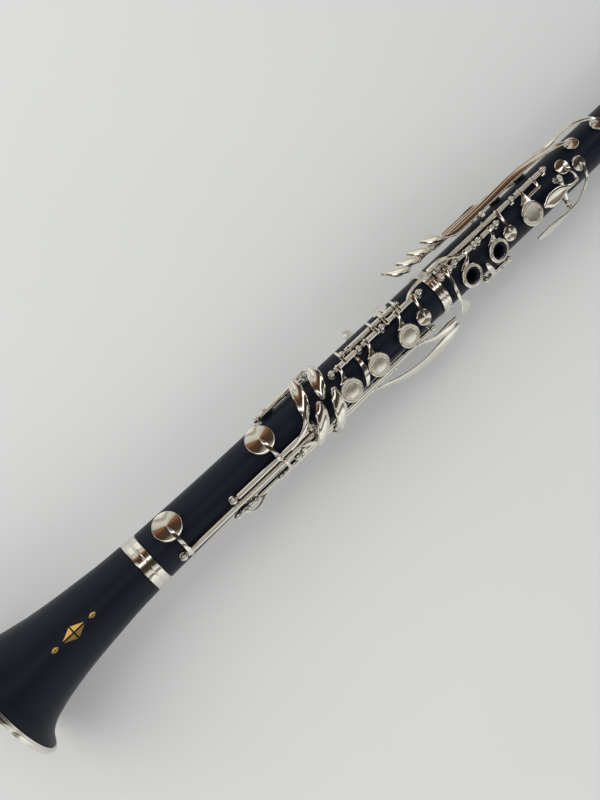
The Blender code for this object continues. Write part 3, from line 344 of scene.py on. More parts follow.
def flat_section(half, rise):
    """Bar with rounded edges."""
    edge = min(half, rise) * 0.75
    points = []
    for across, raised, first in ((1, 1, 0), (-1, 1, 90), (-1, -1, 180), (1, -1, 270)):
        for step in range(4):
            turn = math.radians(first + step * 30)
            x = across * (half - edge) + edge * math.cos(turn)
            points.append((x, raised * (rise - edge) + edge * math.sin(turn)))
    return points


def round_section(half, rise):
    """Oval wire."""
    turns = [math.radians(step * 30) for step in range(12)]
    return [(half * math.cos(turn), rise * math.sin(turn)) for turn in turns]


def leaf_section(half, rise):
    """Crowned finger touch with a narrow bevel round its edge."""
    inner = half - min(0.5, half * 0.3)
    points = [(half, -rise * 0.4), (half, rise * 0.15)]
    for step in range(9):
        share = 1 - step / 4
        points.append((inner * share, rise * (1 - 0.34 * share * share)))
    return points + [(-half, rise * 0.15), (-half, -rise * 0.4), (-inner, -rise), (inner, -rise)]


def lobe_section(half, rise):
    """Thick cast finger touch: a dome on a narrow flange."""
    edge = [(half, -rise * 0.75), (half, -rise * 0.2), (half - 0.22, -rise * 0.02)]
    edge += [(half - 0.5, 0), (half - 0.7, rise * 0.36)]
    inner = half - 0.85
    dome = []
    for share in (0.95, 0.8, 0.6, 0.38, 0.13, -0.13, -0.38, -0.6, -0.8, -0.95):
        dome.append((inner * share, rise * (1.35 - 0.95 * share * share)))
    far_edge = [(-across, raised) for across, raised in reversed(edge)]
    return edge + dome + far_edge + [(0.6 - half, -rise), (half - 0.6, -rise)]


def rounded_end(end, inner):
    """Sections that round a bar off beyond its last one."""
    place, lift, width, thick = end
    along = (place - inner[0]).normalized()
    sections = []
    for share in (0.45, 0.75, 0.93, 1):
        keep = math.sqrt(max(1 - share * share, 0.004))
        beyond = place + along * share * width * 0.5 * MM
        sections.append((beyond, lift, width * keep, thick * (0.55 + 0.45 * keep)))
    return sections


def sweep(route, thick, section=flat_section, upward=None, tips=(1, 1)):
    """Bar along a smooth route; a station's fifth value leans its face round the bore."""
    narrowest = 2.4 if section is lobe_section else 0.35
    bars = []
    for angle, reach, height, width, lean in interpolated(route):
        lift = outward(angle + lean) if upward is None else upward
        bars.append((spot(angle, reach, height), lift, max(width, narrowest), thick))
    first = rounded_end(bars[0], bars[1])[::-1] if tips[0] else []
    last = rounded_end(bars[-1], bars[-2]) if tips[1] else []
    bars = first + bars + last
    points = []
    for i, (place, lift, width, high) in enumerate(bars):
        ahead = bars[min(i + 1, len(bars) - 1)][0]
        along = (ahead - bars[max(i - 1, 0)][0]).normalized()
        side = along.cross(lift).normalized()
        top = side.cross(along).normalized()
        for across, raised in section(width / 2, high / 2):
            points.append(place + (side * across + top * raised) * MM)
    return lofted(points, len(points) // len(bars))


def wire(places, radius):
    """Thin round wire through places in metres."""
    points = []
    for i, place in enumerate(places):
        ahead = places[min(i + 1, len(places) - 1)]
        along = (ahead - places[max(i - 1, 0)]).normalized()
        side = along.orthogonal().normalized()
        top = along.cross(side)
        for step in range(8):
            turn = math.radians(step * 45)
            points.append(place + (side * math.cos(turn) + top * math.sin(turn)) * radius * MM)
    return lofted(points, 8)


def slab(outline, low, high, placement):
    """Flat outline of (x, y) given thickness along Z."""
    points = [(x * MM, y * MM, z * MM) for z in (low, high) for x, y in outline]
    return moved(lofted(points, len(outline)), placement)


# ---- pieces


def mesh_of(name, shape):
    """Mesh with its faces turned outwards."""
    mesh = bpy.data.meshes.new(name)
    mesh.from_pydata(shape[0].tolist(), [], shape[1])
    form = bmesh.new()
    form.from_mesh(mesh)
    bmesh.ops.remove_doubles(form, verts=form.verts, dist=1e-7)
    bmesh.ops.recalc_face_normals(form, faces=form.faces)
    form.to_mesh(mesh)
    form.free()
    return mesh


def show(name, mesh, look, body, node=None, sharp=38):
    """Puts a finished mesh in the scene as a piece that rides on a body."""
    item = bpy.data.objects.new(name, mesh)
    bpy.context.scene.collection.objects.link(item)
    mesh.materials.clear()
    mesh.materials.append(LOOK[look])
    mesh.shade_smooth()
    mesh.set_sharp_from_angle(angle=math.radians(sharp))
    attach(item, body)
    if node:
        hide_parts(node)


def piece(name, shape, look, body, node=None, sharp=38):
    """A shape as a piece of the instrument."""
    show(name, mesh_of(name, shape), look, body, node, sharp)


def carved(mesh, other, operation="DIFFERENCE"):
    """Boolean of two meshes."""
    base = bpy.data.objects.new("base", mesh)
    tool = bpy.data.objects.new("tool", other)
    for item in (base, tool):
        bpy.context.scene.collection.objects.link(item)
    step = base.modifiers.new("step", "BOOLEAN")
    step.operation = operation
    step.solver = "EXACT"
    step.object = tool
    graph = bpy.context.evaluated_depsgraph_get()
    result = bpy.data.meshes.new_from_object(base.evaluated_get(graph))
    bpy.data.objects.remove(base)
    bpy.data.objects.remove(tool)
    return result


def cut(mesh, shape):
    """Mesh with a shape taken away from it."""
    return carved(mesh, mesh_of("cutter", shape))


# ---- materials


class Nodes:
    """Short ways to wire a node tree. Texture places are in metres."""

    def __init__(self, owner, place):
        self.owner = owner
        self.tree = owner.node_tree
        self.place = self.add("TexCoord", {}).outputs[place]

    def add(self, kind, inputs, **settings):
        """New node with its inputs and settings."""
        node = self.tree.nodes.new("ShaderNode" + kind)
        for name, value in settings.items():
            setattr(node, name, value)
        self.fill(node, inputs)
        return node

    def fill(self, node, inputs):
        """Sets a node's inputs; each is a number, a colour, a vector or a socket."""
        for name, value in inputs.items():
            socket = node.inputs[name]
            if isinstance(value, bpy.types.NodeSocket):
                self.tree.links.new(value, socket)
            elif socket.type == "RGBA":
                socket.default_value = (*value, 1)
            else:
                socket.default_value = value

    def noise(self, scale, detail=4, rough=0.55):
        """Noise with a stated number of features to a metre along X, Y and Z."""
        place = self.add("Mapping", {"Vector": self.place, "Scale": scale}).outputs["Vector"]
        inputs = {"Vector": place, "Scale": 1, "Detail": detail, "Roughness": rough}
        return self.add("TexNoise", inputs).outputs["Fac"]

    def cells(self, scale):
        """Distance from the nearest of scattered points."""
        place = self.add("Mapping", {"Vector": self.place, "Scale": scale}).outputs["Vector"]
        return self.add("TexVoronoi", {"Vector": place, "Scale": 1}).outputs["Distance"]

    def span(self, value, to_low, to_high, low=0.3, high=0.7):
        """Value stretched from one range to another."""
        inputs = {"Value": value, "From Min": low, "From Max": high, "To Min": to_low, "To Max": to_high}
        return self.add("MapRange", inputs).outputs["Result"]

    def maths(self, operation, first, second):
        """Sum or product of two values."""
        return self.add("Math", {0: first, 1: second}, operation=operation).outputs["Value"]

    def blend(self, share, low, high):
        """Colour between two colours."""
        return self.add("Mix", {"Factor": share, 6: low, 7: high}, data_type="RGBA").outputs[2]

    def bump(self, height, distance, strength, before=None):
        """Normal over a height, on top of an earlier one."""
        inputs = {"Strength": strength, "Distance": distance, "Height": height}
        if before is not None:
            inputs["Normal"] = before
        return self.add("Bump", inputs).outputs["Normal"]


def new_look(name):
    """New material and the nodes to wire it with."""
    material = bpy.data.materials.new(name)
    material.use_nodes = True
    return Nodes(material, "Object")


def finished(nodes, colour, roughness, metallic, normal=None, specular=None):
    """The material, once its shader's inputs are set."""
    inputs = {"Base Color": colour, "Roughness": roughness, "Metallic": metallic}
    if normal is not None:
        inputs["Normal"] = normal
    if specular is not None:
        inputs["Specular IOR Level"] = specular
    nodes.fill(nodes.tree.nodes["Principled BSDF"], inputs)
    return nodes.owner


def make_black_plastic():
    """Matt moulded resin: fine lengthwise brushing, soft grain, a little dust."""
    n = new_look("black_resin")
    cloud = n.noise((70, 70, 40), 3)
    streak = n.noise((5200, 5200, 160), 3, 0.6)
    grain = n.noise((7500, 7500, 7500), 2)
    dust = n.span(n.cells((520, 520, 520)), 1, 0, 0.02, 0.075)
    colour = n.blend(cloud, (0.0050, 0.0066, 0.0135), (0.0078, 0.0098, 0.0185))
    colour = n.blend(n.span(streak, 0, 0.5, 0.35, 0.75), colour, (0.0115, 0.0140, 0.0240))
    colour = n.blend(n.maths("MULTIPLY", dust, 0.10), colour, (0.22, 0.23, 0.25))
    rough = n.maths("ADD", n.span(streak, 0.33, 0.43), n.span(cloud, -0.02, 0.03))
    normal = n.bump(grain, 0.00002, 0.3, n.bump(streak, 0.00002, 0.35))
    return finished(n, colour, rough, 0, normal, 0.15)


def make_nickel():
    """Polished plating with faint smudges and hairline scratches."""
    n = new_look("nickel_plate")
    smudge = n.noise((240, 240, 190), 4, 0.6)
    hair = n.span(n.noise((9000, 1400, 300), 2), 0, 1, 0.55, 0.8)
    hair_across = n.span(n.noise((350, 2200, 8000), 2), 0.3, 1, 0.4, 0.8)
    scratch = n.maths("MULTIPLY", hair, hair_across)
    clean = (0.80, 0.775, 0.73)
    tint = tuple(c * f for c, f in zip(clean, (0.93, 0.89, 0.82)))
    shade = n.blend(n.span(smudge, 0, 0.8, 0.42, 0.72), clean, tint)
    rough = n.maths("ADD", n.span(smudge, 0.035, 0.10, 0.3, 0.75), n.maths("MULTIPLY", scratch, 0.10))
    normal = n.bump(scratch, 0.0000015, 0.12, n.bump(smudge, 0.00006, 0.04))
    return finished(n, shade, rough, 1, normal)


def make_satin_disc():
    """Dish of a finger plate: brushed, softer than its rim."""
    n = new_look("spun_nickel")
    brush = n.noise((2600, 5200, 6800), 3)
    smudge = n.noise((260, 260, 260), 3)
    colour = n.blend(n.span(smudge, 0, 1, 0.35, 0.65), (0.72, 0.70, 0.65), (0.84, 0.83, 0.79))
    rough = n.maths("ADD", n.span(brush, 0.11, 0.16), n.span(smudge, -0.02, 0.03))
    return finished(n, colour, rough, 1, n.bump(brush, 0.000002, 0.15))


def make_cork():
    """Cork: pale granules between dark pores."""
    n = new_look("cork_grain")
    cell = n.cells((900, 900, 900))
    pore = n.noise((1500, 1500, 600), 4, 0.7)
    colour = n.blend(n.span(cell, 0, 1, 0.2, 0.8), (0.42, 0.25, 0.12), (0.60, 0.40, 0.22))
    colour = n.blend(n.span(pore, 0, 1, 0.62, 0.72), colour, (0.14, 0.07, 0.03))
    return finished(n, colour, 0.85, 0, n.bump(pore, 0.0001, 0.5))


def make_cane():
    """Shaved cane: long fibres with darker flecks."""
    n = new_look("cane_fibre")
    fibre = n.noise((3800, 2600, 70), 4, 0.6)
    fleck = n.noise((700, 700, 240), 3)
    colour = n.blend(fibre, (0.62, 0.45, 0.20), (0.88, 0.74, 0.46))
    colour = n.blend(n.span(fleck, 0, 0.6, 0.64, 0.74), colour, (0.32, 0.18, 0.07))
    return finished(n, colour, n.span(fibre, 0.42, 0.6), 0, n.bump(fibre, 0.00004, 0.4))


def make_floor_paint():
    """Pale matt table top with the faintest mottling, clear from behind."""
    n = new_look("pale_table")
    cloud = n.noise((5, 5, 5), 3)
    grain = n.noise((900, 900, 900), 3)
    colour = n.blend(cloud, (0.775, 0.785, 0.765), (0.815, 0.825, 0.805))
    material = finished(n, colour, 0.62, 0, n.bump(grain, 0.00003, 0.15), 0.25)
    behind = n.add("NewGeometry", {}).outputs["Backfacing"]
    clear = n.add("BsdfTransparent", {}).outputs["BSDF"]
    paint = n.tree.nodes["Principled BSDF"].outputs["BSDF"]
    choice = n.add("MixShader", {"Fac": behind, 1: paint, 2: clear})
    n.fill(n.tree.nodes["Material Output"], {"Surface": choice.outputs["Shader"]})
    return material


# Looks of two tones: name, noise of the tone where it is not that of the marks,
# noise of the marks, the two tones, roughness from and to, metallic, then depth and
# strength of the marks
TWO_TONES = {
    # Ground hinge rods, a little darker than the plating
    "steel": ("ground_steel", None, ((500, 500, 9000), 3),
              (0.50, 0.49, 0.46), (0.70, 0.69, 0.66), (0.16, 0.30), 1, (0.00001, 0.2)),
    # Blued needle springs
    "spring": ("blued_steel", None, ((300, 300, 420), 2),
               (0.035, 0.055, 0.15), (0.14, 0.12, 0.16), (0.22, 0.34), 1, None),
    # Pale, finely wrinkled skin over a felt pad
    "pad": ("pad_skin", ((500, 500, 500), 2), ((1400, 1400, 1400), 5, 0.65),
            (0.66, 0.56, 0.40), (0.83, 0.77, 0.62), (0.45, 0.65), 0, (0.00008, 0.4)),
    # Polished hard rubber with a faint olive cast
    "ebonite": ("hard_rubber", ((120, 120, 60), 3), ((1800, 1800, 700), 4),
                (0.008, 0.008, 0.008), (0.016, 0.016, 0.012), (0.14, 0.24), 0, (0.00001, 0.15)),
    # Thin gold foil pressed into the bell
    "gold": ("gold_foil", None, ((1500, 1500, 1500), 4, 0.65),
             (0.72, 0.42, 0.10), (0.95, 0.66, 0.22), (0.24, 0.42), 1, (0.00002, 0.3)),
}


def make_two_tone(name, tone, mark, low, high, rough, metallic, dents):
    """One row of TWO_TONES as a material."""
    n = new_look(name)
    marks = n.noise(*mark)
    shade = n.noise(*tone) if tone else marks
    normal = n.bump(marks, *dents) if dents else None
    return finished(n, n.blend(shade, low, high), n.span(marks, *rough), metallic, normal)


LOOK = {
    "black": make_black_plastic(),
    "nickel": make_nickel(),
    "satin": make_satin_disc(),
    "cork": make_cork(),
    "cane": make_cane(),
    "floor": make_floor_paint(),
}
LOOK.update({look: make_two_tone(*row) for look, row in TWO_TONES.items()})


# ---- joints and rings


def level(outline):
    """Outline with long runs split, so that shading stays even round the holes."""
    result = []
    for i, (radius, height) in enumerate(outline):
        next_radius, next_height = outline[(i + 1) % len(outline)]
        parts = max(int(abs(next_height - height) // 3), 1)
        for k in range(parts):
            share = k / parts
            result.append((radius + (next_radius - radius) * share, height + (next_height - height) * share))
    return result


def bored_mesh(name, outline, holes):
    """Joint with raised seats and drilled tone holes."""
    mesh = mesh_of(name, lathe(level(outline), 96))
    seats = []
    drills = []
    for angle, height, seat, reach, hole in holes:
        place = facing(angle, reach - SEAT_RISE, height)
        form = [(0, 0), (seat + 1, 0), (seat + 0.9, 3), (seat + 0.25, 3.7), (seat, 4.3)]
        form += [(seat, 4.8), (seat - 0.2, 5), (0, 5)]
        drill = [(0, -8), (hole, -8), (hole, 4.7), (hole + 0.4, 5.2), (0, 5.2)]
        seats.append(lathe(form, 48, place))
        drills.append(lathe(drill, 48, place))
    mesh = carved(mesh, mesh_of("seats", joined(seats)), "UNION")
    return cut(mesh, joined(drills))


def build_band(name, outline, body, node, steps=128, ease=0.12):
    """Plated ring round the bore."""
    piece(name, lathe(outline, steps, None, ease), "nickel", body, node)


def build_cork(name, node, body, inner, outer):
    """Cork wrap of a tenon."""
    low, high = ends(node)
    outline = [(outer - 0.3, high), (outer, high - 0.8), (outer, low + 0.8), (outer - 0.3, low)]
    outline += [(inner, low), (inner, high)]
    piece(name, lathe(outline, 64, None, 0.2), "cork", body, node)


def build_bell():
    """Bell with its two rings."""
    top = ends("bell")[1]
    ring = ends("bell_socket_ring")[0]
    outside = [(16.25, ring - 0.3), (17.1, 82), (18.3, 70), (20.5, 50), (23.6, 31)]
    outside += [(26.5, 19.3), (29.6, 11.4), (32.8, 7.2), (37.4, 3.9)]
    inside = [(35.8, 0.7), (30, 5), (23, 15), (16.5, 36), (12.5, 60), (10.4, 86)]
    outline = [(14.9, top), (14.9, ring - 0.3)] + curved(outside, 6) + [(37.4, 0.3), (36.4, 0.3)]
    outline += curved(inside, 5) + [(12.7, 87), (12.7, top)]
    piece("bell_shell", lathe(outline, 144), "black", "bell", "bell")
    rim = [(37.7, 3.6), (38.4, 3.62), (38.75, 3.35), (38.8, 2.95), (39.2, 2.85), (39.55, 2.55), (39.7, 1.9)]
    rim += [(39.65, 1.2), (39.35, 0.9), (39.3, 0.6), (39.25, 0.25), (38.9, 0), (37.7, 0)]
    build_band("bell_rim_band", rim, "bell", "bell_rim_ring", 144, 0.15)
    band = above(top, (15.2, 0), (15.8, 0), (16.1, -0.35), (16.15, -3.2), (15.85, -3.6))
    band += above(top, (15.85, -4.1), (16.15, -4.4), (16.3, -4.9))
    band += above(ring, (16.3, 1.2), (16.15, 0.9), (16.3, 0.5), (16.1, 0), (15.2, 0))
    build_band("bell_socket_band", band, "bell", "bell_socket_ring")


def bell_radius(height):
    """Outside radius of the bell at a height."""
    return float(np.interp(height, (31, 50, 70, 82), (23.6, 20.5, 18.3, 17.1)))


# Angle of the bell's ornament, and how far its foil's two faces stand off the bell
ORNAMENT_ANGLE = -31
FOIL = (0.02, 0.10)


def foil_kite(height, tall, wide, side, end):
    """One quarter of a lozenge, laid on the bell."""
    points = []
    for lift in FOIL:
        for across, along in ((0.12, 0.06), (0.12, 0.94), (0.94, 0.06)):
            at = height + end * along * tall / 2
            radius = bell_radius(at)
            angle = ORNAMENT_ANGLE + side * math.degrees(across * wide / 2 / radius)
            points.append(spot(angle, radius + lift, at))
    faces = [(0, 1, 2), (5, 4, 3), (0, 1, 4, 3), (1, 2, 5, 4), (2, 0, 3, 5)]
    return np.array(points, float), faces


def build_ornament():
    """Plain gold lozenge with a small one above and below it."""
    kites = []
    for lozenge in ((52, 15, 8), (64.5, 5, 3), (39.5, 5, 3)):
        kites += [foil_kite(*lozenge, side, end) for side in (-1, 1) for end in (-1, 1)]
    piece("bell_ornament", joined(kites), "gold", "bell")


def build_lower_joint():
    """Lower joint with its cork and socket ring."""
    foot = 107.3
    top = ends("lower_joint")[1]
    ring = ends("middle_ring")[0]
    outline = [(12.9, top), (12.9, ring - 0.3), (13.7, ring - 0.3), (13.95, 275), (14.25, 210), (14.3, 185)]
    outline += [(14.55, 157), (14.95, 135), (15.6, foot + 0.6), (15.3, foot), (12.2, foot), (12.2, 105)]
    outline += [(10.8, 105), (10.8, 92), (12.2, 92), (12.2, foot - 18), (9.8, foot - 18), (7.7, 180)]
    outline += [(7.4, top - 20), (11.35, top - 20), (11.35, top)]
    holes = [hole for hole in HOLES.values() if hole[1] < JOINT_SPLIT]
    mesh = bored_mesh("lower_joint_tube", outline, holes)
    show("lower_joint_tube", mesh, "black", "lower_joint", "lower_joint", 30)
    band = above(top, (13.2, 0), (15.2, 0), (15.6, -0.3), (15.6, -1.7), (15.25, -2.05), (15.25, -2.45))
    band += above(top, (15.5, -2.8), (15.5, -4.1), (15.2, -4.4), (15.2, -4.7), (15.3, -5))
    build_band("middle_band", band + [(15.1, ring), (13.2, ring)], "lower_joint", "middle_ring")
    build_cork("lower_tenon_wrap", "lower_tenon_cork", "lower_joint", 11.2, 12.35)


def build_upper_joint():
    """Upper joint with its two corks and the register vent's tube."""
    foot = 336.3
    top = 529
    outline = above(top, (10.9, 18), (10.9, 15), (9.6, 15), (9.6, 2.5), (10.9, 2.5), (10.9, 0), (13.4, 0))
    outline += [(13.7, top - 0.5), (13.9, 430), (13.95, foot + 0.5), (13.6, foot), (10.9, foot)]
    outline += above(foot, (10.9, -2.5), (9.6, -2.5), (9.6, -15), (10.9, -15), (10.9, -18), (7.4, -18))
    outline.append((7.4, top + 18))
    mesh = bored_mesh("upper_joint_tube", outline, [hole for hole in HOLES.values() if hole[1] > JOINT_SPLIT])
    angle, height = REGISTER_HOLE
    mesh = cut(mesh, lathe([(0, 0), (2.9, 0), (2.9, 12), (0, 12)], 32, facing(angle, 4, height)))
    show("upper_joint_tube", mesh, "black", "upper_joint", "upper_joint", 30)
    for name in ("middle_tenon", "top_tenon"):
        build_cork(name + "_wrap", name + "_cork", "upper_joint", 9.8, 11.05)
    tube = [(3.6, 15.2), (3.6, 14.3), (2.5, 14.1), (2.5, 5.6), (1.5, 5.6), (1.5, 15.2)]
    shape = lathe(tube, 40, facing(angle, 0, height), 0.12)
    piece("register_vent_tube", shape, "nickel", "upper_joint", "register_tube")


def build_barrel():
    """Barrel with a ring at each end."""
    foot, top = ends("barrel")
    side = above(top, (15, -5.8), (15.38, -14), (15.4, -24))
    side += above(foot, (15.2, 24), (14.8, 14), (14.4, 5.8))
    outline = above(top, (13.1, 0), (13.1, -5.8)) + curved(side, 4)
    outline += above(foot, (13.1, 5.8), (13.1, 0), (11.35, 0), (11.35, 20), (7.5, 20))
    outline += above(top, (7.5, -20), (11.35, -20), (11.35, 0))
    piece("barrel_tube", lathe(outline, 96), "black", "barrel", "barrel", 30)
    for name, outer in (("barrel_lower_", 15.2), ("barrel_upper_", 15.9)):
        low, high = ends(name + "ring")
        band = above(high, (13.4, 0), (outer - 0.2, 0), (outer, -0.4), (outer, -2.2), (outer - 0.3, -2.5))
        band += above(high, (outer - 0.3, -2.9), (outer, -3.2))
        band += above(low, (outer, 0.4), (outer - 0.2, 0), (13.4, 0))
        build_band(name + "band", band, "barrel", name + "ring", 112)


# ---- mouthpiece


def build_mouthpiece():
    """Mouthpiece with beak, table, window and bore, cut as the real one is."""
    foot = 594.3
    tip = ends("mouthpiece")[1]
    side = [(11.8, 652), (12.8, 628), (13.4, 606), (13.7, foot + 1.2)]
    solid = [(0, tip), (10.9, tip), (11.2, tip - 0.6)] + curved(side, 5)
    solid += above(foot, (13.4, 0), (10.9, 0), (10.9, -2.5), (9.6, -2.5), (9.6, -15), (10.9, -15))
    solid += above(foot, (10.9, -18), (0, -18))
    mesh = mesh_of("mouthpiece_body", lathe(solid, 96))
    side_on = placed(Vector((0, 0, 0)), BACK, SIDEWAYS)
    beak = [(-30, 632), (-12.2, 632), (-7, 640.6), (0.6, 654.4), (8, tip), (12, tip + 12), (-30, tip + 12)]
    table = [(9.5, 602), (9.5, tip + 5), (30, tip + 5), (30, 602)]
    mesh = cut(mesh, slab(beak, -20, 20, side_on))
    mesh = cut(mesh, slab(table, -20, 20, side_on))
    mesh = cut(mesh, lathe([(0, foot - 30), (7.2, foot - 30), (7, 640), (0, 640)], 48))
    window = [(0, 632), (15, 632), (15, 663.5), (7.2, 663.5), (-1, 645)]
    mesh = cut(mesh, slab(window, -5.4, 5.4, side_on))
    show("mouthpiece_body", mesh, "ebonite", "mouthpiece", "mouthpiece", 30)
    build_cork("mouthpiece_wrap", "mouthpiece_cork", "mouthpiece", 9.8, 11.05)


def reed_thickness(height, share):
    """Thickness of the reed: a thick butt, then a scrape down to the tip."""
    if height < SCRAPE_FOOT:
        return REED_BUTT - 0.2 * share
    return REED_EDGE + 2.75 * ((REED_TIP - height) / (REED_TIP - SCRAPE_FOOT)) ** 1.15


def build_reed():
    """Cane reed, round outside, shaved to a thin tip."""
    points = []
    for station in range(31):
        share = station / 30
        height = REED_FOOT + share * (REED_TIP - REED_FOOT)
        thick = reed_thickness(height, share)
        rounded = REED_HALF * math.sqrt(max(0.02, 1 - (max(0, height - 664.5) / 4.4) ** 2 * 0.75))
        for step in range(13):
            across = -rounded + step * rounded / 6
            swell = 0.45 + 0.55 * math.cos(across / REED_HALF * math.pi / 2)
            points.append((across * MM, (REED_TABLE + thick * swell) * MM, height * MM))
        points += [(side * MM, REED_TABLE * MM, height * MM) for side in (rounded, -rounded)]
    piece("reed_blade", lofted(points, 15), "cane", "mouthpiece", "reed")


def build_ligature():
    """Metal band with rolled edges, screw lugs and two thumb screws."""
    band = [(14.6, 628), (14.75, 627.4), (14.6, 626.8), (14.5, 626.2), (14.5, 607.8), (14.6, 607.2)]
    band += [(14.75, 606.6), (14.6, 606), (14.1, 606), (14.1, 628)]
    side_on = placed(Vector((0, 0, 0)), BACK, SIDEWAYS)
    lugs = []
    drills = []
    for body in ("ligature_screw_lower", "ligature_screw_upper"):
        _, reach, height = hinge_line(body)
        across = placed(Vector((0, reach * MM, height * MM)), UP, SIDEWAYS)
        lug = [(14.3, height - 2.2), (17.6, height - 2.1), (18.4, height - 1.2), (18.4, height + 1.2)]
        lug += [(17.6, height + 2.1), (14.3, height + 2.2)]
        lugs += [slab(lug, middle - 0.9, middle + 0.9, side_on) for middle in (-2.6, 2.6)]
        drills.append(lathe([(0, -8), (1.2, -8), (1.2, 8), (0, 8)], 24, across))
        build_thumb_screw(body, across)
    lug_mesh = cut(mesh_of("lugs", joined(lugs)), joined(drills))
    mesh = carved(mesh_of("ligature_band", lathe(band, 96)), lug_mesh, "UNION")
    show("ligature_band", mesh, "nickel", "mouthpiece", "ligature")


def build_thumb_screw(body, across):
    """Thumb screw with a knurled head."""
    outline = [(0, 11.5), (3.3, 11.5), (3.8, 11.1), (3.8, 8.1), (3.3, 7.7), (1.6, 7.3), (1.6, 3.9)]
    outline += [(0.9, 3.8), (0.9, -5.7), (0.6, -6), (0, -6)]
    points, faces = lathe(outline, 96, None, 0.12)
    reach = np.hypot(points[:, 0], points[:, 1])
    turn = np.arctan2(points[:, 1], points[:, 0])
    ridge = 1 + 0.028 * np.cos(turn * 24) * (reach > 3.4 * MM)
    points[:, :2] *= ridge[:, None]
    piece(body + "_head", moved((points, faces), across), "nickel", body, body)


# ---- keywork elements


def seat_place(hole):
    """Placement on a tone hole's seat, facing outwards."""
    return facing(hole[0], hole[3], hole[1])


def cup(hole, radius, rise):
    """Pad cup: a vertical wall, a bright rounded edge and a shallow cone."""
    low = PAD_LIFT + 0.55
    top = PAD_LIFT + rise
    shoulder = PAD_LIFT + rise * 0.52
    outline = [(0, top), (0.5, top - 0.02), (radius * 0.9, shoulder + 0.12), (radius - 0.25, shoulder - 0.05)]
    outline += [(radius, shoulder - 0.35), (radius, low), (radius - 0.45, low), (radius - 0.45, low + 0.25)]
    outline.append((0, low + 0.25))
    return lathe(outline, 48, seat_place(hole), 0.14)


def pad(hole, radius):
    """Pad held in a cup."""
    outline = above(PAD_LIFT, (0, 0.05), (radius - 1.2, 0.02), (radius - 0.8, 0), (radius - 0.5, 0.25))
    outline += above(PAD_LIFT, (radius - 0.5, 0.85), (0, 0.85))
    return lathe(outline, 40, seat_place(hole), 0.1)


def plate(hole, radius):
    """Finger plate's wall with its double rim."""
    low = PAD_LIFT + 0.5
    top = PAD_LIFT + 1.7
    outline = [(radius - 2.75, low + 0.2), (radius - 2.75, top - 0.2), (radius - 2.5, top + 0.02)]
    outline += [(radius - 2.15, top + 0.02), (radius - 1.9, top - 0.25), (radius - 1.8, top - 0.95)]
    outline += [(radius - 1.35, top - 0.95), (radius - 1.2, top - 0.5), (radius - 0.5, top - 0.55)]
    outline += [(radius - 0.1, top - 0.75), (radius, top - 1), (radius, low), (radius - 0.5, low)]
    return lathe(outline, 56, seat_place(hole), 0.16)


def dish(hole, radius, dip):
    """Shallow dish inside a finger plate's rim."""
    top = PAD_LIFT + 1.7 - 0.45
    outer = radius - 2.7
    outline = [(0, top - dip), (outer * 0.5, top - dip * 0.75), (outer, top), (outer, top - 0.5)]
    outline.append((0, top - 0.6))
    return lathe(outline, 56, seat_place(hole))


def finger_ring(hole):
    """Ring round a raised hole: a rounded lip inside a wide, lower flange."""
    outline = [(RING_INNER - 0.2, -0.6), (RING_INNER - 0.2, -0.02), (RING_INNER, 0.2)]
    outline += [(RING_INNER + 0.3, 0.18), (RING_INNER + 0.5, -0.1), (RING_INNER + 0.55, -0.85)]
    outline += [(RING_INNER + 0.95, -0.85), (RING_INNER + 1.05, -0.35), (RING_OUTER - 0.3, -0.5)]
    outline += [(RING_OUTER, -0.8), (RING_OUTER, -1.3), (RING_INNER, -1.3)]
    return lathe(outline, 56, seat_place(hole), 0.12)


def cup_arm(line, hole, start, rise, width):
    """Straight arm from a sleeve to the middle of a cup, narrowing to a point."""
    angle, height, _, seat, _ = hole
    top = seat + PAD_LIFT + rise
    ride = line[1] + ARM_RIDE - 0.2
    route = [(line[0], ride, start, width + 0.8)]
    for share, wide in ((0.3, 1), (0.62, 1), (0.85, 0.7)):
        reach = ride + (top + 0.35 - ride) * min(1, share * 1.25)
        across = line[0] + (angle - line[0]) * share
        route.append((across, reach, start + (height - start) * share, width * wide))
    route.append((angle, top + 0.05, height, 0.4))
    return sweep(route, 1.15, round_section)


# Arms of plates and rings: thickness, where they end round the hole and above its
# seat, then stations from the sleeve: share of the way, what is added to reach and
# height, and width
PLATE_ARM = (1.2, -22, PAD_LIFT + 1.1, (
    (0, -0.1, 0, 2.8), (0.3, -0.45, 0, 1.9), (0.6, 0.1, 0, 2.2), (0.85, 0.35, 0.3, 4.6), (1, 0.05, 0, 8.4),
))
RING_ARM = (1, -23.5, -0.5, (
    (0, -0.1, 0, 2.6), (0.3, -0.6, -0.2, 1.8), (0.58, 0.2, 0, 2.2), (0.84, 0.3, 0.2, 5.2), (1, -0.1, 0, 9.4),
))


def wide_arm(line, hole, height, kind):
    """Arm that starts as a thin neck and widens into a plate or a ring's flange."""
    thick, short, rise, stations = kind
    near = (line[1] + ARM_RIDE, height)
    far = (hole[3] + rise, hole[1])
    halfway = ((near[0] + far[0]) / 2, (near[1] + far[1]) / 2)
    span = hole[0] + short - line[0]
    route = []
    for base, station in zip((near, near, halfway, far, far), stations):
        share, outer, upper, width = station
        route.append((line[0] + span * share, base[0] + outer, base[1] + upper, width))
    return sweep(route, thick, flat_section, None, (1, 0))


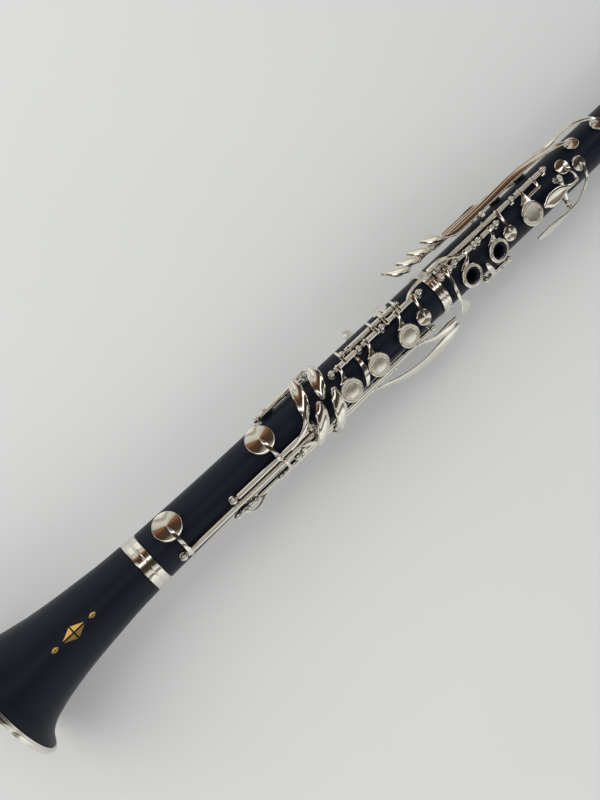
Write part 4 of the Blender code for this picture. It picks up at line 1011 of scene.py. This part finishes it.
class Key:
    """A key under construction, on its own hinge."""

    def __init__(self, body, low, high, across=False):
        self.body = body
        self.line = hinge_line(body)
        self.ride = self.line[1] + ARM_RIDE
        sleeve = [(SLEEVE_BORE, low), (SLEEVE - SLEEVE_EDGE, low), (SLEEVE, low + SLEEVE_EDGE)]
        sleeve += [(SLEEVE, high - SLEEVE_EDGE), (SLEEVE - SLEEVE_EDGE, high), (SLEEVE_BORE, high)]
        place = crossing(self.line) if across else upright(self.line)
        self.metal = [lathe(sleeve, 20, place)]
        self.pads = []
        self.dishes = []

    def bar(self, thick, route, section=flat_section, tips=(1, 1)):
        """Adds a bar; a reach under 5 counts from where the key's arms ride."""
        stations = []
        for angle, reach, *rest in route:
            stations.append((angle, self.ride + reach if reach < 5 else reach, *rest))
        self.metal.append(sweep(stations, thick, section, None, tips))

    def cup(self, name, radius, rise, start=None, width=2, arm_rise=None):
        """Adds a padded cup over a tone hole, and its arm if that starts somewhere."""
        hole = HOLES[name]
        self.metal.append(cup(hole, radius, rise))
        self.pads.append(pad(hole, radius))
        if start:
            self.metal.append(cup_arm(self.line, hole, start, arm_rise or rise, width))

    def plate(self, name, radius, dip=0.2):
        """Adds a padded finger plate with its spun dish."""
        hole = HOLES[name]
        self.metal.append(plate(hole, radius))
        self.pads.append(pad(hole, radius))
        self.dishes.append(dish(hole, radius, dip))

    def finish(self, turn=0):
        """Shows the key, turned by some degrees to its place at rest."""
        groups = (("metal", self.metal, "nickel"), ("pad", self.pads, "pad"), ("dish", self.dishes, "satin"))
        pivot = upright(self.line)
        opened = pivot @ Matrix.Rotation(math.radians(turn), 4, "Z") @ pivot.inverted()
        for suffix, shapes, look in groups:
            if shapes:
                shape = moved(joined(shapes), opened) if turn else joined(shapes)
                node = self.body if suffix == "metal" else None
                piece(self.body + "_" + suffix, shape, look, self.body, node, 34)


# ---- rods and posts


def body_reach(height):
    """Radius of the joints' outside at a height."""
    if height > JOINT_SPLIT:
        return float(np.interp(height, (336.8, 430, 528.5), (13.95, 13.9, 13.7)))
    levels = (107.9, 135, 157, 185, 210, 275, 329.2)
    return float(np.interp(height, levels, (15.6, 14.95, 14.55, 14.3, 14.25, 13.95, 13.7)))


def post(angle, ball_reach, height):
    """Ball-headed post that stands on the body on a small round foot."""
    foot = body_reach(height) - 0.1
    ball = ball_reach - foot
    outline = [(0, ball + BALL)]
    for step in range(1, 9):
        turn = math.radians(step * 18.5)
        outline.append((BALL * math.sin(turn), ball + BALL * math.cos(turn)))
    outline += [(0.95, max(ball - 2.6, 0.9)), (1.15, 0.8), (1.9, 0.5), (2.05, 0.3), (2.05, 0), (0, 0)]
    return lathe(outline, 24, facing(angle, foot, height))


def screw_head(placement):
    """Slotted head of a pivot screw: two halves with the slot between them."""
    shapes = []
    for side in (-1, 1):
        turns = [math.radians(-80 + step * 20) for step in range(9)]
        outline = [(side * (0.16 + 0.84 * math.cos(turn)), math.sin(turn)) for turn in turns]
        shapes.append(slab(outline, 0, 0.45, placement))
    shapes.append(lathe([(0, 0.15), (1.02, 0.15), (1.02, -0.4), (0, -0.4)], 24, placement))
    return joined(shapes)


def steel_rod(low, high, place):
    """Ground rod between two heights of a placement."""
    return lathe([(0, low), (ROD, low), (ROD, high), (0, high)], 16, place)


def spring(line, low, length):
    """Needle spring from a post towards the key it works."""
    places = []
    for step in range(9):
        share = step / 8
        reach = line[1] - SPRING_DROP + 0.45 * share * share
        places.append(spot(line[0] + 1.5 * share, reach, low + share * length))
    return wire(places, SPRING)


def build_rods(node, rods, plated):
    """A node's rods: steel, plated posts with their screws, and blued springs."""
    steel = []
    posts = []
    springs = []
    for key, heights, *key_springs in rods:
        line = hinge_line(key)
        angle, reach = line[:2]
        steel.append(steel_rod(heights[0], heights[-1], upright(line)))
        posts += [post(angle, reach, height) for height in heights]
        for height, sign in ((heights[-1], 1), (heights[0], -1)):
            place = spot(angle, reach, height + (BALL - SCREW_SINK) * sign)
            posts.append(screw_head(placed(place, outward(angle), UP * sign)))
        springs += [spring(line, *place) for place in key_springs]
    body = "lower_joint" if rods[0][1][0] < JOINT_SPLIT else "upper_joint"
    piece(node + "_steel", joined(steel), "steel", body, node)
    piece(node + "_posts", joined([*plated, *posts]), "nickel", body)
    if springs:
        piece(node + "_springs", joined(springs), "spring", body)


def build_cross_rod(node, key, low, high, shift):
    """A rod across the bore with its two posts and screws."""
    line = hinge_line(key)
    angle, reach, height = line
    right = around(angle)
    plated = []
    for sign in (-1, 1):
        turn = math.degrees(math.atan2(shift * sign, reach))
        plated.append(post(angle + turn, math.hypot(reach, shift), height))
    for sign in (1, -1):
        place = spot(*line) + right * (shift + BALL - SCREW_SINK) * sign * MM
        plated.append(screw_head(placed(place, outward(angle), right * sign)))
    piece(node + "_steel", steel_rod(low, high, crossing(line)), "steel", "upper_joint", node)
    piece(node + "_posts", joined(plated), "nickel", "upper_joint")


# Rods along the bore: node, then for each rod a key on it, the heights of its posts,
# and its springs as height and length
RODS = (
    ("rod_lower_stack", ("key_right_third", (249, 271, 290, 321), (249, 8), (290, -9), (321, -12))),
    ("rod_lower_sliver", ("key_lower_sliver", (262, 305.9), (305, -16))),
    ("rod_low_keys", ("key_low_e", (119.5, 221.4), (221, -26)), ("key_low_f", (159.6, 219.4), (219, -22))),
    ("rod_f_sharp_pad", ("key_f_sharp_pad", (156.5, 166))),
    ("rod_f_sharp_touch", ("key_f_sharp_touch", (170.8, 238.3), (238, -20))),
    ("rod_a_flat", ("key_a_flat", (201, 239.3), (239, -16))),
    ("rod_left_e", ("lever_left_e", (204, 316), (315, -24))),
    ("rod_left_f", ("lever_left_f", (190, 284), (283, -22))),
    ("rod_upper_stack", ("key_left_third", (350.5, 367.6, 371.3, 387), (367, -9), (386, -8))),
    ("rod_side_line", ("key_c_sharp_pad", (341, 406.4, 435.1), (406, -20), (434, -12)),
     ("key_c_sharp_touch", (338.4, 345.6))),
    ("rod_upper_sliver", ("key_upper_sliver", (365.1, 384.9), (384, -9))),
    ("rod_thumb_ring", ("key_thumb_ring", (390.1, 420.9), (420, -14))),
)

# Plated bases under the posts of two nodes: thickness, then stations
BASES = {
    "rod_low_keys": (0.7, (-8, 15.15, 220.4, 4.4), (16, 15.15, 220.4, 4.4)),
    "rod_side_line": (0.6, (-64, 14.5, 339.8, 3.6), (-52, 14.5, 339.2, 3.6), (-41, 14.5, 338.8, 3.6)),
}

# Rods across the bore: node, a key on it, its two ends, its posts' place each way
CROSS_RODS = (
    ("rod_throat_keys", "key_a", -10.2, 15.4, 9),
    ("rod_register", "key_register", -7, 7, 5.8),
    ("rod_side_keys", "key_side_1", -9.7, 9.7, 8.5),
)


def build_all_rods():
    """Every rod of the tables."""
    for node, *rods in RODS:
        thick, *stations = BASES.get(node, (0,))
        build_rods(node, rods, [sweep(stations, thick)] if stations else [])
    for row in CROSS_RODS:
        build_cross_rod(*row)


def build_thumb_rest():
    """Screwed plate with a curved hook for the right thumb."""
    base = sweep([(180, 14.9, 268, 6), (180, 14.9, 272, 9), (180, 14.9, 290, 9), (180, 14.9, 293, 6)], 0.9)
    hook = [(180, 14.75, 287, 8.4), (180, 19, 286, 8.6), (180, 26, 284.5, 11), (180, 29, 282, 10)]
    shapes = [base, sweep(hook, 1.7, flat_section, UP, (0, 0))]
    shapes += [screw_head(facing(180, 15.35, height)) for height in (271.5, 279)]
    piece("thumb_rest_hook", joined(shapes), "nickel", "lower_joint", "thumb_rest")


# ---- keys


def build_right_stack():
    """Three plates of the right hand, the lowest first."""
    stack = (
        ("right_third", 251.7, 268.3, 253.8, (259.5,)),
        ("right_second", 273.7, 287.3, 276.4, (285.4,)),
        ("right_first", 292.7, 318.3, 301.4, (293.8, 304.8)),
    )
    for name, low, high, height, feet in stack:
        key = Key("key_" + name, low, high)
        key.plate(name, 7.3)
        key.metal.append(wide_arm(key.line, HOLES[name], height, PLATE_ARM))
        angle, reach = key.line[:2]
        for foot in feet:
            route = [(angle + 5, -0.3, foot, 1.8), (angle, 0, foot, 2.2)]
            key.bar(1, route + [(angle - 8, reach + 2.7, foot, 2), (angle - 21, reach + 2.8, foot, 1.6)])
        if name == "right_first":
            key.cup("vent", 4.9, 2, 315.8, arm_rise=2.2)
            bridge = [(-51, 0, 312, 2), (-58, 0.3, 316, 2), (-63, 19.6, 322, 2.2), (-63, 18.8, 336.4, 3)]
            key.bar(1.1, bridge)
        key.finish(STACK_OPEN)


# Keys of one sleeve, at most one cup, and bars. Each row: body; sleeve from and to,
# True if it lies across the bore; cup as hole, radius, rise, start and width of its
# arm; turn at rest; then bars as thickness, section and stations.
KEYS = (
    # Thin key between the second and third plates
    ("key_lower_sliver", (264.7, 303.2), ("b_natural", 5.2, 1.9, 298.6), 0,
     (0.8, flat_section, (-66, 18.95, 267, 1.8), (-61.3, 18.4, 267.2, 1.8), (-57.5, 16.4, 267.2, 1.8),
      (-54, 15.35, 267.2, 1.8), (-46, 15.35, 266.9, 1.8), (-36, 16.4, 266.6, 2), (-15, 17.4, 265.7, 3.2),
      (5, 17.6, 263.6, 3), (17, 17.45, 261.9, 1.8))),
    # Lowest key: stem, lobed touch, tab for the left hand's lever
    ("key_low_e", (121.9, 218.5), ("low_e", 8.55, 2.5, 124, 2.4), LOW_KEY_OPEN,
     (1.2, flat_section, (11.5, 0, 209.5, 2.4), (12.5, 1, 212.5, 2.6), (19, 20.9, 215.5, 3),
      (26, 21.4, 217.6, 4)),
     (2.3, lobe_section, (-29, 22.5, 230.2, 4.4), (-20, 22.8, 228.4, 7), (-4, 22.9, 225.2, 8),
      (12, 22.6, 221.8, 7.4), (25, 22, 218.6, 5.2), (30, 21.6, 217.4, 3.4)),
     (1.1, flat_section, (11.5, 0, 208.5, 2.4), (17, 20.3, 208.5, 2.4), (24, 20.6, 208.5, 2.6))),
    # Second lowest key: tab for the left hand's lever, stem, touch
    ("key_low_f", (162.6, 216.5), ("low_f", 8.55, 2.5, 194.6, 2.4), LOW_KEY_OPEN,
     (1.1, flat_section, (-12, 0.3, 194.9, 2), (-3.5, 0.4, 195.2, 2.2), (4, 20.6, 195.6, 2.2),
      (20, 20.7, 196.2, 2), (38, 20.6, 196.8, 2.6)),
     (1.4, flat_section, (-3.5, 0, 203, 2.2), (-6, 0.3, 208, 2.4), (-13, 20.6, 213.2, 2.6),
      (-24, 22, 218.2, 3), (-33, 22.6, 220.6, 4)),
     (2.3, lobe_section, (-27, 22.2, 219.4, 3), (-35, 22.7, 221.2, 5.4), (-48, 23.2, 223.8, 7.2),
      (-64, 23.5, 226.4, 7.6), (-80, 23.6, 228.6, 5.4))),
    # Right little finger's outer upper touch; its cup opens at the back
    ("key_a_flat", (203.7, 236.6), ("a_flat", 6.6, 2.2, 208), 0,
     (1.4, flat_section, (-100, 0, 231, 2.6), (-94, 20.6, 236, 3), (-86, 22.9, 240, 3.4),
      (-78, 23.5, 241.4, 4)),
     (2.3, lobe_section, (-76, 23.8, 241.7, 5.4), (-65, 23.9, 240.7, 7.6), (-50, 23.7, 238.2, 7.8),
      (-39, 23.3, 235.9, 5.6), (-33, 23.1, 234.8, 3.6))),
    # Right little finger's inner upper touch
    ("key_f_sharp_touch", (173.4, 235.6), None, 0,
     (1.4, flat_section, (70, 0, 231.5, 2.6), (62, 20.8, 232.6, 2.8), (50, 21.9, 233.4, 3.2),
      (38, 22.2, 234.2, 4)),
     (2.3, lobe_section, (35, 22.4, 233.9, 3.8), (26, 22.7, 234.9, 6.2), (10, 23, 237.2, 8),
      (-8, 23, 239.6, 7.8), (-22, 22.8, 241.6, 5.6), (-27, 22.7, 242.3, 4.2)),
     (1.1, flat_section, (70, 0, 177, 2.2), (60, 20.6, 171, 2.2), (45, 21.2, 164.6, 2.2),
      (27, 20.5, 161.2, 2.4))),
    # See-saw lever that the inner upper touch works
    ("key_f_sharp_pad", (159.2, 163.3), ("f_sharp", 6.6, 2.2), 0,
     (1.1, flat_section, (27, -0.5, 161.2, 2.2), (40, 0, 161.2, 2.4), (52, 18.7, 161.6, 2.4),
      (66, 19.6, 162, 2.2), (78, 18.9, 162.6, 2.6), (86, 18.1, 163, 0.6))),
    # Left little finger's two long levers
    ("lever_left_e", (206.7, 313.3), None, 0,
     (1, flat_section, (32, 0, 209.4, 2.4), (27.3, 18.4, 209.2, 2.4), (24, 17.9, 209, 2.4),
      (20.5, 18.1, 208.6, 2.4)),
     (1.4, leaf_section, (32, 0, 302, 2.4, 0), (37, 19.9, 307, 2.6, -8), (43, 21.8, 313, 3.8, -24),
      (46, 22.6, 319, 5.6, -36), (47, 22.6, 326, 6.6, -42), (47, 22, 331, 4.6, -42))),
    ("lever_left_f", (192.7, 281.3), None, 0,
     (1, flat_section, (53, 0, 196.6, 2.4), (48.3, 18.4, 196.8, 2.4), (45, 17.8, 196.8, 2.4),
      (36, 17.7, 197, 2.4)),
     (1.4, leaf_section, (53, 0, 266, 2.6, 0), (58, 21.2, 273, 3.4, -18), (63, 24.4, 282, 4.8, -34),
      (66, 27.2, 292, 6, -44), (68, 28.6, 303, 6.4, -48), (68, 28.2, 316, 6.8, -54),
      (66, 26.8, 328, 6.2, -58), (65, 25.8, 333, 3.6, -58))),
    # Left little finger's touch on the upper joint and the cup it works
    ("key_c_sharp_pad", (343.7, 403.7), ("c_sharp", 4.9, 2, 392.2), 0,
     (0.9, flat_section, (-61, 0, 345.2, 1.8), (-51.5, 19.2, 345.2, 1.6))),
    ("key_c_sharp_touch", (340.7, 343.3), None, 0,
     (1.2, leaf_section, (-48, -0.2, 342, 2), (-44, 0, 342, 2.2), (-30, 19, 341.2, 2),
      (0, 18.9, 339.6, 2.2), (20, 19.3, 339.6, 2.6, -6), (31, 20, 340.6, 4.6, -20),
      (41, 21, 341.4, 8.6, -32), (47, 21.6, 341.8, 8.8, -36)),
     (0.8, flat_section, (-48, 18.8, 342, 1.6), (-50, 17.9, 343, 1.5), (-52, 17.5, 344.2, 1.3))),
    # Two keys on the rod across the front, high on the upper joint
    ("key_a", (-6.6, 6.5, True), ("a", 4.8, 2), 0,
     (1.6, leaf_section, (-3.5, 18.4, 420.4, 3.8), (-3.5, 18.7, 422.6, 7.4), (-3.5, 18.9, 427.4, 9.5),
      (-3, 18.8, 433, 8), (-1, 18.6, 437.4, 4.6), (1.5, 18.6, 441, 2.6), (3, 18.4, 446, 2.2),
      (1, 18.2, 448.6, 2.2)),
     (1, round_section, (4, 18, 448.4, 2.2), (-10, 17.9, 448.6, 1.9), (-26, 17.7, 447.6, 2.2),
      (-38, 17, 446.2, 0.7))),
    ("key_g_sharp", (11.5, 14.3, True), ("g_sharp", 4.8, 2), 0,
     (1.2, flat_section, (42, 22.2, 408, 3.6, -18), (42, 22.6, 412, 5.6, -20), (41.5, 23, 424, 5.2, -18),
      (40, 23.2, 432, 2.6, -10), (39.5, 23, 437.4, 2), (38.5, 22.8, 442, 2.2), (30, 21, 449.6, 2.4),
      (12, 19.6, 454.6, 2.2), (-6, 18, 456.4, 2.4), (-18, 17, 456.6, 0.7))),
    # Thin key between the rings
    ("key_upper_sliver", (367.8, 382.2), ("e_flat", 4.9, 2, 378), 0,
     (0.9, flat_section, (53, 0, 370.6, 2), (46, 18.4, 370.2, 2.8), (30, 17.6, 368.8, 3.6),
      (14, 17.2, 367.2, 3.2), (5, 16.9, 366.6, 2))),
)


def build_keys():
    """The keys of the table."""
    for body, sleeve, cup_row, turn, *bars in KEYS:
        key = Key(body, *sleeve)
        if cup_row:
            key.cup(*cup_row)
        for thick, section, *stations in bars:
            key.bar(thick, stations, section)
        key.finish(turn)


def build_upper_stack():
    """Two rings and the teardrop plate of the left hand."""
    bridge = [(-46, 0, 356.5, 2), (-49, 0.7, 353, 2), (-55, 21.3, 349, 2.2)]
    bridge += [(-62, 21.6, 344, 2.6), (-63, 21.5, 334.6, 3)]
    for name, low, high, height in (("left_third", 353, 364.9, 359), ("left_second", 374, 384.3, 380.6)):
        key = Key("key_" + name, low, high)
        hole = HOLES[name]
        key.metal += [finger_ring(hole), wide_arm(key.line, hole, height, RING_ARM)]
        if name == "left_third":
            key.bar(1.1, bridge)
        key.finish(RING_OPEN)
    key = Key("key_left_first", 409.1, 432.3)
    key.plate("left_first", 7.75, 0.1)
    near = [(-61, 0, 412.4, 2), (-50, 18.6, 412.4, 1.8), (-40, 17.7, 411.4, 4.6), (-31, 17.2, 410.3, 8.4)]
    key.bar(1.1, near, flat_section, (1, 0))
    key.bar(1.1, [(-61, 0, 424, 2), (-50, 18.6, 424, 1.8), (-38.5, 17.6, 423.4, 1.8)])
    key.bar(1, [(-39, 17.6, 424.2, 1.8), (-39, 17.5, 418, 1.8), (-38, 17.4, 411, 1.8)])
    key.finish(STACK_OPEN)


def build_back_keys():
    """Thumb ring and register key on the back of the upper joint."""
    key = Key("key_thumb_ring", 392.8, 418.2)
    key.metal.append(finger_ring(HOLES["thumb"]))
    near = [(140, 0, 398, 2.2), (148, -0.6, 398, 2), (153, 16.6, 398, 3.6), (156.5, 15.8, 398, 6)]
    key.bar(1, near, flat_section, (1, 0))
    key.cup("thumb_vent", 4.8, 2, 415.5)
    key.finish(RING_OPEN)
    key = Key("key_register", -3.4, 3.4, True)
    angle, height = REGISTER_HOLE
    top = facing(angle, 15.2, height)
    cap = [(0, 1.9), (2.2, 1.7), (4, 1.15), (4.4, 0.8), (4.4, 0.55), (0, 0.55)]
    key.metal.append(lathe(cap, 40, top, 0.12))
    lever = [(208, 18.3, 407, 3.4), (208, 18.8, 409.5, 5.5), (208, 19, 415, 5.5), (206, 19, 421, 2.8)]
    lever += [(200, 18.7, 429, 2.6), (196, 18.75, 436, 2.8), (190, 18.4, 446, 2.4), (178, 17.9, 460, 2.4)]
    key.bar(1.3, lever + [(170, 17.2, 470, 1.2)])
    key.pads.append(lathe([(0, 0.15), (3.8, 0.15), (4, 0.4), (4, 0.7), (0, 0.7)], 36, top, 0.1))
    key.finish()


# Side keys: gap between their levers, length of a sleeve, reach of the levers, where
# their faces look; angle, reach and heights at which the lobes start and their slopes
SIDE_PITCH = 3.1
SIDE_SLEEVE = 2.7
SIDE_REACH = 21.05
SIDE_NORMAL = -49
LOBE_ANGLE = -82
LOBE_REACH = 24.3
LOBE_HEIGHTS = (328, 337, 346.5, 358)
LOBE_OUTWARD = 0.17
LOBE_DOWNWARD = 0.4


def lobe_station(number, angle, width):
    """Place on a side key's lobe, which climbs outwards round the joint."""
    way = LOBE_ANGLE - angle
    height = LOBE_HEIGHTS[number - 1] - way * LOBE_DOWNWARD
    return (angle, LOBE_REACH + way * LOBE_OUTWARD, height, width, 20)


def side_angle(number, line, reach=21):
    """Angle of a side key's lever at a reach."""
    return line[0] + math.degrees(math.asin((number - 2.5) * SIDE_PITCH / reach))


def build_side_key(number, beyond):
    """Side key: a lobe for the right first finger, a long lever, a cup."""
    shift = (number - 2.5) * SIDE_PITCH
    key = Key("key_side_%d" % number, shift - SIDE_SLEEVE / 2, shift + SIDE_SLEEVE / 2, True)
    key.cup("side_%d" % number, 4.8, 2)
    pivot, _, height = key.line
    angle = side_angle(number, key.line)
    ride = SIDE_REACH / math.cos(math.radians(angle - pivot))
    foot = lobe_station(number, angle, 2.4)
    wide = 3.4 if number == 4 else 2.6
    near = angle + 3.2 if number == 4 else angle
    lean = SIDE_NORMAL - angle
    lever = [foot, (near, (foot[1] + ride) / 2, foot[2] + 4, 2.6, lean / 2)]
    for station in (foot[2] + 9, foot[2] + 14, foot[2] + 20, height - 6, height + 4):
        lever.append((near, ride, station, wide, lean))
    key.bar(1.25, lever + beyond)
    widths = ((-86, 4.4), (-90, 6.6), (-96, 7.4), (-102, 6.6), (-105, 5))
    key.bar(2.2, [lobe_station(number, *place) for place in widths], leaf_section)
    key.finish()


def build_side_keys():
    """The four side keys, lowest touch first."""
    line = hinge_line("key_side_1")
    first = [(-112, 20.2, 396, 2), (-114, 18.4, 401, 2.2), (-118, 17.2, 405, 0.8)]
    second = [(side_angle(2, line), 20.9, 412, 2), (-108, 19.4, 423, 2.2), (-118, 17.2, 428, 0.8)]
    third = [(side_angle(3, line), 20.9, 440, 2.6, 36), (-87, 20.9, 450, 2.6, 20), (-84, 22.4, 458, 3.4)]
    third += [(-81, 23.2, 468, 4.2), (-74, 21.6, 478, 3.6), (-64, 18.6, 484.6, 2.4), (-56, 17.1, 485.7, 0.8)]
    fourth = [(side_angle(4, line) + 1, 21.1, 434, 3.6, 28), (-77, 20.8, 446, 2.8, 14), (-71, 19.8, 456, 3.2)]
    fourth.append((-64, 17.1, 463.4, 0.8))
    for number, route in enumerate((first, second, third, fourth), 1):
        build_side_key(number, route)


# ---- stage


def add_floor():
    """Pale table top that stands behind the instrument, which lies on it in the photo."""
    forward = outward(CAMERA_ANGLE)
    middle = -forward * TABLE_BEHIND
    lean = UP + forward * TABLE_LEAN
    across = around(CAMERA_ANGLE) * TABLE_HALF
    corners = [middle - across - lean * TABLE_BELOW, middle + across - lean * TABLE_BELOW]
    corners += [middle + across + lean * TABLE_ABOVE, middle - across + lean * TABLE_ABOVE]
    mesh = bpy.data.meshes.new("table_top")
    mesh.from_pydata([tuple(corner) for corner in corners], [], [(0, 1, 2, 3)])
    mesh.materials.append(LOOK["floor"])
    item = bpy.data.objects.new("table_top", mesh)
    bpy.context.scene.collection.objects.link(item)


def add_world():
    """Pale room light; polished metal mirrors the bands of ROOM instead."""
    world = bpy.data.worlds.new("room")
    bpy.context.scene.world = world
    world.use_nodes = True
    world.node_tree.nodes.clear()
    n = Nodes(world, "Generated")
    right, up, forward = camera_axes()
    towards = (up * 0.80 - right * 0.56 - forward * 0.20).normalized()
    dot = n.add("VectorMath", {0: n.place, 1: towards}, operation="DOT_PRODUCT").outputs["Value"]
    clutter = n.add("TexNoise", {"Vector": n.place, "Scale": 2.6, "Detail": 2}).outputs["Fac"]
    uneven = n.add("Math", {0: clutter, 1: 0.08, 2: dot}, operation="MULTIPLY_ADD").outputs["Value"]
    spread = n.add("MapRange", {"Value": uneven, "From Min": -0.96, "From Max": 1.04}).outputs["Result"]
    bands = n.add("ValToRGB", {"Fac": spread})
    while len(bands.color_ramp.elements) < len(ROOM):
        bands.color_ramp.elements.new(0.5)
    for element, (position, colour) in zip(bands.color_ramp.elements, ROOM):
        element.position = position
        element.color = (*colour, 1)
    plain = n.add("Background", {"Color": (0.965, 0.98, 1), "Strength": 0.50}).outputs["Background"]
    mirrored = n.add("Background", {"Color": bands.outputs["Color"]}).outputs["Background"]
    glossy = n.add("LightPath", {}).outputs["Is Glossy Ray"]
    choice = n.add("MixShader", {"Fac": glossy, 1: plain, 2: mirrored}).outputs["Shader"]
    n.add("OutputWorld", {"Surface": choice})


def add_light(name, angle, reach, height, size, power, colour, aim_height):
    """Soft square light, placed round the instrument and aimed at its axis."""
    data = bpy.data.lights.new(name, "AREA")
    data.shape = "RECTANGLE"
    data.size = size
    data.size_y = size
    data.energy = power
    data.color = colour
    item = bpy.data.objects.new(name, data)
    item.location = spot(angle, reach, height)
    aim = Vector((0, 0, aim_height * MM)) - item.location
    item.rotation_euler = aim.to_track_quat("-Z", "Y").to_euler()
    item.visible_glossy = False
    bpy.context.scene.collection.objects.link(item)


def add_lights():
    """Broad window light from the lower left, a weaker one from the right."""
    add_light("window", CAMERA_ANGLE - 45, 1200, -250, 1.5, 9.5, (1, 0.995, 0.985), 50)
    add_light("room", CAMERA_ANGLE + 62, 1300, 100, 1.4, 5.5, (1, 0.98, 0.95), 200)


def camera_axes():
    """Right, up and forward of the camera."""
    east = math.sin(LOOK_HEADING)
    north = math.cos(LOOK_HEADING)
    flat = math.cos(LOOK_RISE)
    forward = Vector((east * flat, north * flat, math.sin(LOOK_RISE)))
    right = Vector((north, -east, 0))
    up = right.cross(forward)
    turned_right = right * math.cos(LOOK_ROLL) + up * math.sin(LOOK_ROLL)
    turned_up = up * math.cos(LOOK_ROLL) - right * math.sin(LOOK_ROLL)
    return turned_right, turned_up, forward


def add_camera():
    """Camera that looks down on the instrument as it lies on the table."""
    data = bpy.data.cameras.new("camera")
    data.lens = LENS
    data.sensor_width = SENSOR
    data.clip_start = 0.01
    data.clip_end = 20
    item = bpy.data.objects.new("camera", data)
    bpy.context.scene.collection.objects.link(item)
    right, up, forward = camera_axes()
    matrix = Matrix((right, up, -forward)).transposed().to_4x4()
    matrix.translation = spot(CAMERA_ANGLE, CAMERA_REACH, CAMERA_HEIGHT)
    item.matrix_world = matrix
    bpy.context.scene.camera = item


BUILDERS = (
    build_bell,
    build_ornament,
    build_lower_joint,
    build_upper_joint,
    build_barrel,
    build_mouthpiece,
    build_reed,
    build_ligature,
    build_thumb_rest,
    build_all_rods,
    build_right_stack,
    build_keys,
    build_upper_stack,
    build_back_keys,
    build_side_keys,
    add_floor,
    add_world,
    add_lights,
    add_camera,
)


for build in BUILDERS:
    build()
bpy.context.scene.view_settings.view_transform = "Standard"
